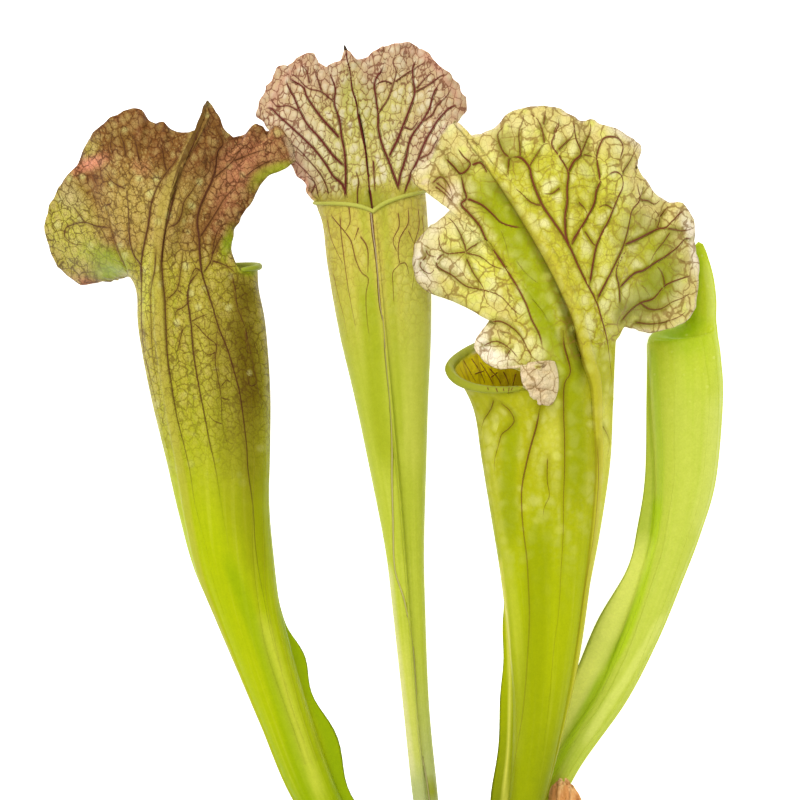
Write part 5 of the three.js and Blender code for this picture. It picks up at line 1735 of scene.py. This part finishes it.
def dry_strip(name, stations, material, curl, crinkle, thickness, rows=90, columns=36):
    """A thin dry strip, curled across and crinkled all over."""
    skin = Skin()
    shares = np.linspace(0, 1, rows + 1)
    rings = Rings([(*s, 0, 0) for s in stations], shares)
    angle = np.linspace(-curl, curl, columns + 1)[None, :, None]
    radius = (rings.half_width / math.sin(min(curl, math.pi / 2)))[:, None, None]
    grid = rings.centre[:, None] + radius * np.sin(angle) * rings.across[:, None]
    grid = grid + radius * (np.cos(angle) - (1 + math.cos(curl)) / 2) * rings.up[:, None] * STRIP_DEPTH
    waves = [noise.fractal(Vector(p) / CRINKLE_SIZE, 1.0, 2.0, 3) for p in grid.reshape(-1, 3)]
    ridges = np.sin(angle * RIDGE_COUNT)[..., 0] * RIDGE_HEIGHT
    lift = (np.reshape(waves, grid.shape[:2]) + ridges) * crinkle * ease(*STRIP_FOOT, shares)[:, None]
    grid = grid + lift[..., None] * rings.up[:, None]
    ragged = np.reshape([noise.noise(Vector(p) * RAGGED_SIZE) for p in grid.reshape(-1, 3)], grid.shape[:2])
    stretch = ragged * ease(*STRIP_END, shares)[:, None] * RAGGED_LENGTH
    grid = grid + stretch[..., None] * rings.along[:, None]
    skin.grid(skin.add(grid))
    skin.thicken(thickness)
    claim(make_object(name + "_skin", skin.points, skin.faces), name, material)


class PITCHER_OT_dry_parts(bpy.types.Operator):
    """Grow the dried leaf and the sheath scales at the leaf bases"""

    bl_idname = "pitcher.dry_parts"
    bl_label = "Dried Leaf and Scales"

    def execute(self, context):
        leaf = dry_material("dry_leaf", srgb(246, 200, 134), srgb(212, 146, 80), 420)
        dry_strip("dried_leaf", DRY_LEAF_STATIONS, leaf, 1.0, 0.9, 0.45)
        scale = dry_material("sheath_scale", srgb(150, 100, 62), srgb(92, 56, 34), 380)
        for name, stations in SCALE_STATIONS.items():
            dry_strip(name, stations, scale, 1.0, 0.5, 0.5)
        return {"FINISHED"}


def tube_along(points, radii, columns, lumps, seed):
    """A closed tube along a line, its surface roughened by noise."""
    skin = Skin()
    centre = np.asarray(points, float)
    along = unit(np.gradient(centre, axis=0))
    aside = unit(np.cross(along, np.array([0.0, 0.0, 1.0])))
    up = np.cross(aside, along)
    angle = np.linspace(0, 2 * math.pi, columns, endpoint=False)[None, :, None]
    out = np.cos(angle) * aside[:, None] + np.sin(angle) * up[:, None]
    grid = centre[:, None] + out * radii[:, None, None]
    shift = Vector((seed * LUMP_SHIFT, 0, 0))
    size = radii.max() * LUMP_SIZE
    lift = [noise.fractal(Vector(p) / size + shift, 1.0, 2.0, 4) for p in grid.reshape(-1, 3)]
    grid = grid + out * (np.reshape(lift, grid.shape[:2]) * lumps * radii[:, None])[..., None]
    ids = skin.add(grid)
    ids = np.hstack([ids, ids[:, :1]])
    skin.grid(ids)
    skin.fan(ids[0], skin.add(centre[0] - along[0] * radii[0] * TUBE_CAP))
    skin.fan(ids[-1][::-1], skin.add(centre[-1] + along[-1] * radii[-1] * TUBE_CAP))
    return skin


def side_root(start, side, radius):
    """The line and the radii of a thin side root."""
    twig = start + TWIG_LINE * (side, 1, 1)
    twig[:, 2] = np.maximum(twig[:, 2], TWIG_LOWEST)
    shares = np.linspace(0, 1, TWIG_STEPS)
    return Line(twig).at(shares), radius * TWIG_RADIUS * (1 - TWIG_TAPER * shares)


class PITCHER_OT_creeping_stem(bpy.types.Operator):
    """Grow the creeping stem and its trimmed roots"""

    bl_idname = "pitcher.creeping_stem"
    bl_label = "Creeping Stem and Roots"

    def execute(self, context):
        sizes = sizes_in_mm()
        shares = np.linspace(0, 1, STEM_STEPS)
        swell = np.interp(shares, np.linspace(0, 1, len(STEM_SWELL)), STEM_SWELL)
        scars = STEM_SCAR_HEIGHT * np.abs(np.sin(shares * math.pi * STEM_SCARS)) ** 0.3
        radii = sizes.stem_radius * STEM_FULLNESS * (swell + scars - STEM_SCAR_BASE)
        stem = tube_along(Line(place(STEM_LINE)).at(shares), radii, STEM_COLUMNS, STEM_LUMPS, 1)
        material = dry_material("creeping_stem", srgb(128, 92, 58), srgb(74, 50, 32), 300)
        claim(make_object("rhizome_skin", stem.points, stem.faces), "rhizome", material)
        material = dry_material("root_skin", srgb(166, 128, 84), srgb(112, 80, 50), 700)
        shares = np.linspace(0, 1, ROOT_STEPS)
        for k, line in enumerate(ROOT_LINES):
            route = Line(place(line))
            radii = sizes.root_radius * (1 - ROOT_TAPER * shares)
            root = tube_along(route.at(shares), radii, ROOT_COLUMNS, ROOT_LUMPS, k + 2)
            for share, side in TWIGS:
                twig, radii = side_root(route.at(share), side, sizes.root_radius)
                part = tube_along(twig, radii, TWIG_COLUMNS, TWIG_LUMPS, k + 20)
                first = len(root.points)
                root.points = np.vstack([root.points, part.points])
                root.faces += [tuple(i + first for i in face) for face in part.faces]
            name = f"root_{k + 1}"
            claim(make_object(name + "_skin", root.points, root.faces), name, material)
        return {"FINISHED"}


class PITCHER_OT_stage(bpy.types.Operator):
    """Set up the floor, the soft studio light and the camera above the plant"""

    bl_idname = "pitcher.stage"
    bl_label = "Stage"

    def execute(self, context):
        scene = context.scene
        corners = [(-FLOOR, -FLOOR, 0), (FLOOR, -FLOOR, 0), (FLOOR, FLOOR, 0), (-FLOOR, FLOOR, 0)]
        floor = make_object("floor", corners, [(0, 1, 2, 3)])
        n = Nodes("floor_white")
        shade = n.mix(n.noise(3, 2), *FLOOR_WHITES)
        glow = {"Specular IOR Level": 0.2, "Emission Color": (1, 1, 1, 1), "Emission Strength": FLOOR_GLOW}
        floor.data.materials.append(n.finish(shade, 0.9, glow))
        world = bpy.data.worlds.new("studio")
        world.use_nodes = True
        background = world.node_tree.nodes["Background"]
        background.inputs["Color"].default_value = (1, 1, 1, 1)
        background.inputs["Strength"].default_value = WORLD_LIGHT
        scene.world = world
        scene.view_settings.view_transform = "Standard"
        for name, place_at, power, size in LAMPS:
            lamp = bpy.data.lights.new(name, "AREA")
            lamp.energy = power
            lamp.size = size
            holder = bpy.data.objects.new(name, lamp)
            holder.location = place_at
            holder.rotation_euler = Vector(place_at).to_track_quat("Z", "Y").to_euler()
            scene.collection.objects.link(holder)
        lens = bpy.data.cameras.new("camera")
        camera = bpy.data.objects.new("camera", lens)
        middle = place((VIEW_PIXELS / 2, VIEW_PIXELS / 2, 0)) * MM
        camera.location = (middle[0], middle[1], CAMERA_HEIGHT)
        lens.sensor_width = SENSOR
        lens.lens = SENSOR * (CAMERA_HEIGHT - SHARP_HEIGHT) / (VIEW_PIXELS * MM_PER_PIXEL * MM)
        lens.clip_end = CAMERA_REACH
        scene.collection.objects.link(camera)
        scene.camera = camera
        return {"FINISHED"}


class PITCHER_PT_panel(bpy.types.Panel):
    """Lists the pieces of the plant in the sidebar"""

    bl_label = "Pitcher Plant"
    bl_idname = "PITCHER_PT_panel"
    bl_space_type = "VIEW_3D"
    bl_region_type = "UI"
    bl_category = "Pitcher Plant"

    def draw(self, context):
        for operator in OPERATORS:
            self.layout.operator(operator.bl_idname)


OPERATORS = (
    PITCHER_OT_stage,
    PITCHER_OT_left,
    PITCHER_OT_middle,
    PITCHER_OT_front,
    PITCHER_OT_young,
    PITCHER_OT_dry_parts,
    PITCHER_OT_creeping_stem,
)
GROUPS = {
    "pitcher_sizes": PitcherSizes,
    "left_tints": LeftTints,
    "middle_tints": MiddleTints,
    "front_tints": FrontTints,
    "young_tints": YoungTints,
}
CLASSES = (*GROUPS.values(), *OPERATORS, PITCHER_PT_panel)


def register():
    for cls in CLASSES:
        bpy.utils.register_class(cls)
    for name, group in GROUPS.items():
        setattr(bpy.types.Scene, name, bpy.props.PointerProperty(type=group))


def unregister():
    for name in GROUPS:
        delattr(bpy.types.Scene, name)
    for cls in reversed(CLASSES):
        bpy.utils.unregister_class(cls)


def main():
    register()
    for operator in OPERATORS:
        category, name = operator.bl_idname.split(".")
        getattr(getattr(bpy.ops, category), name)()


if __name__ == "__main__":
    main()
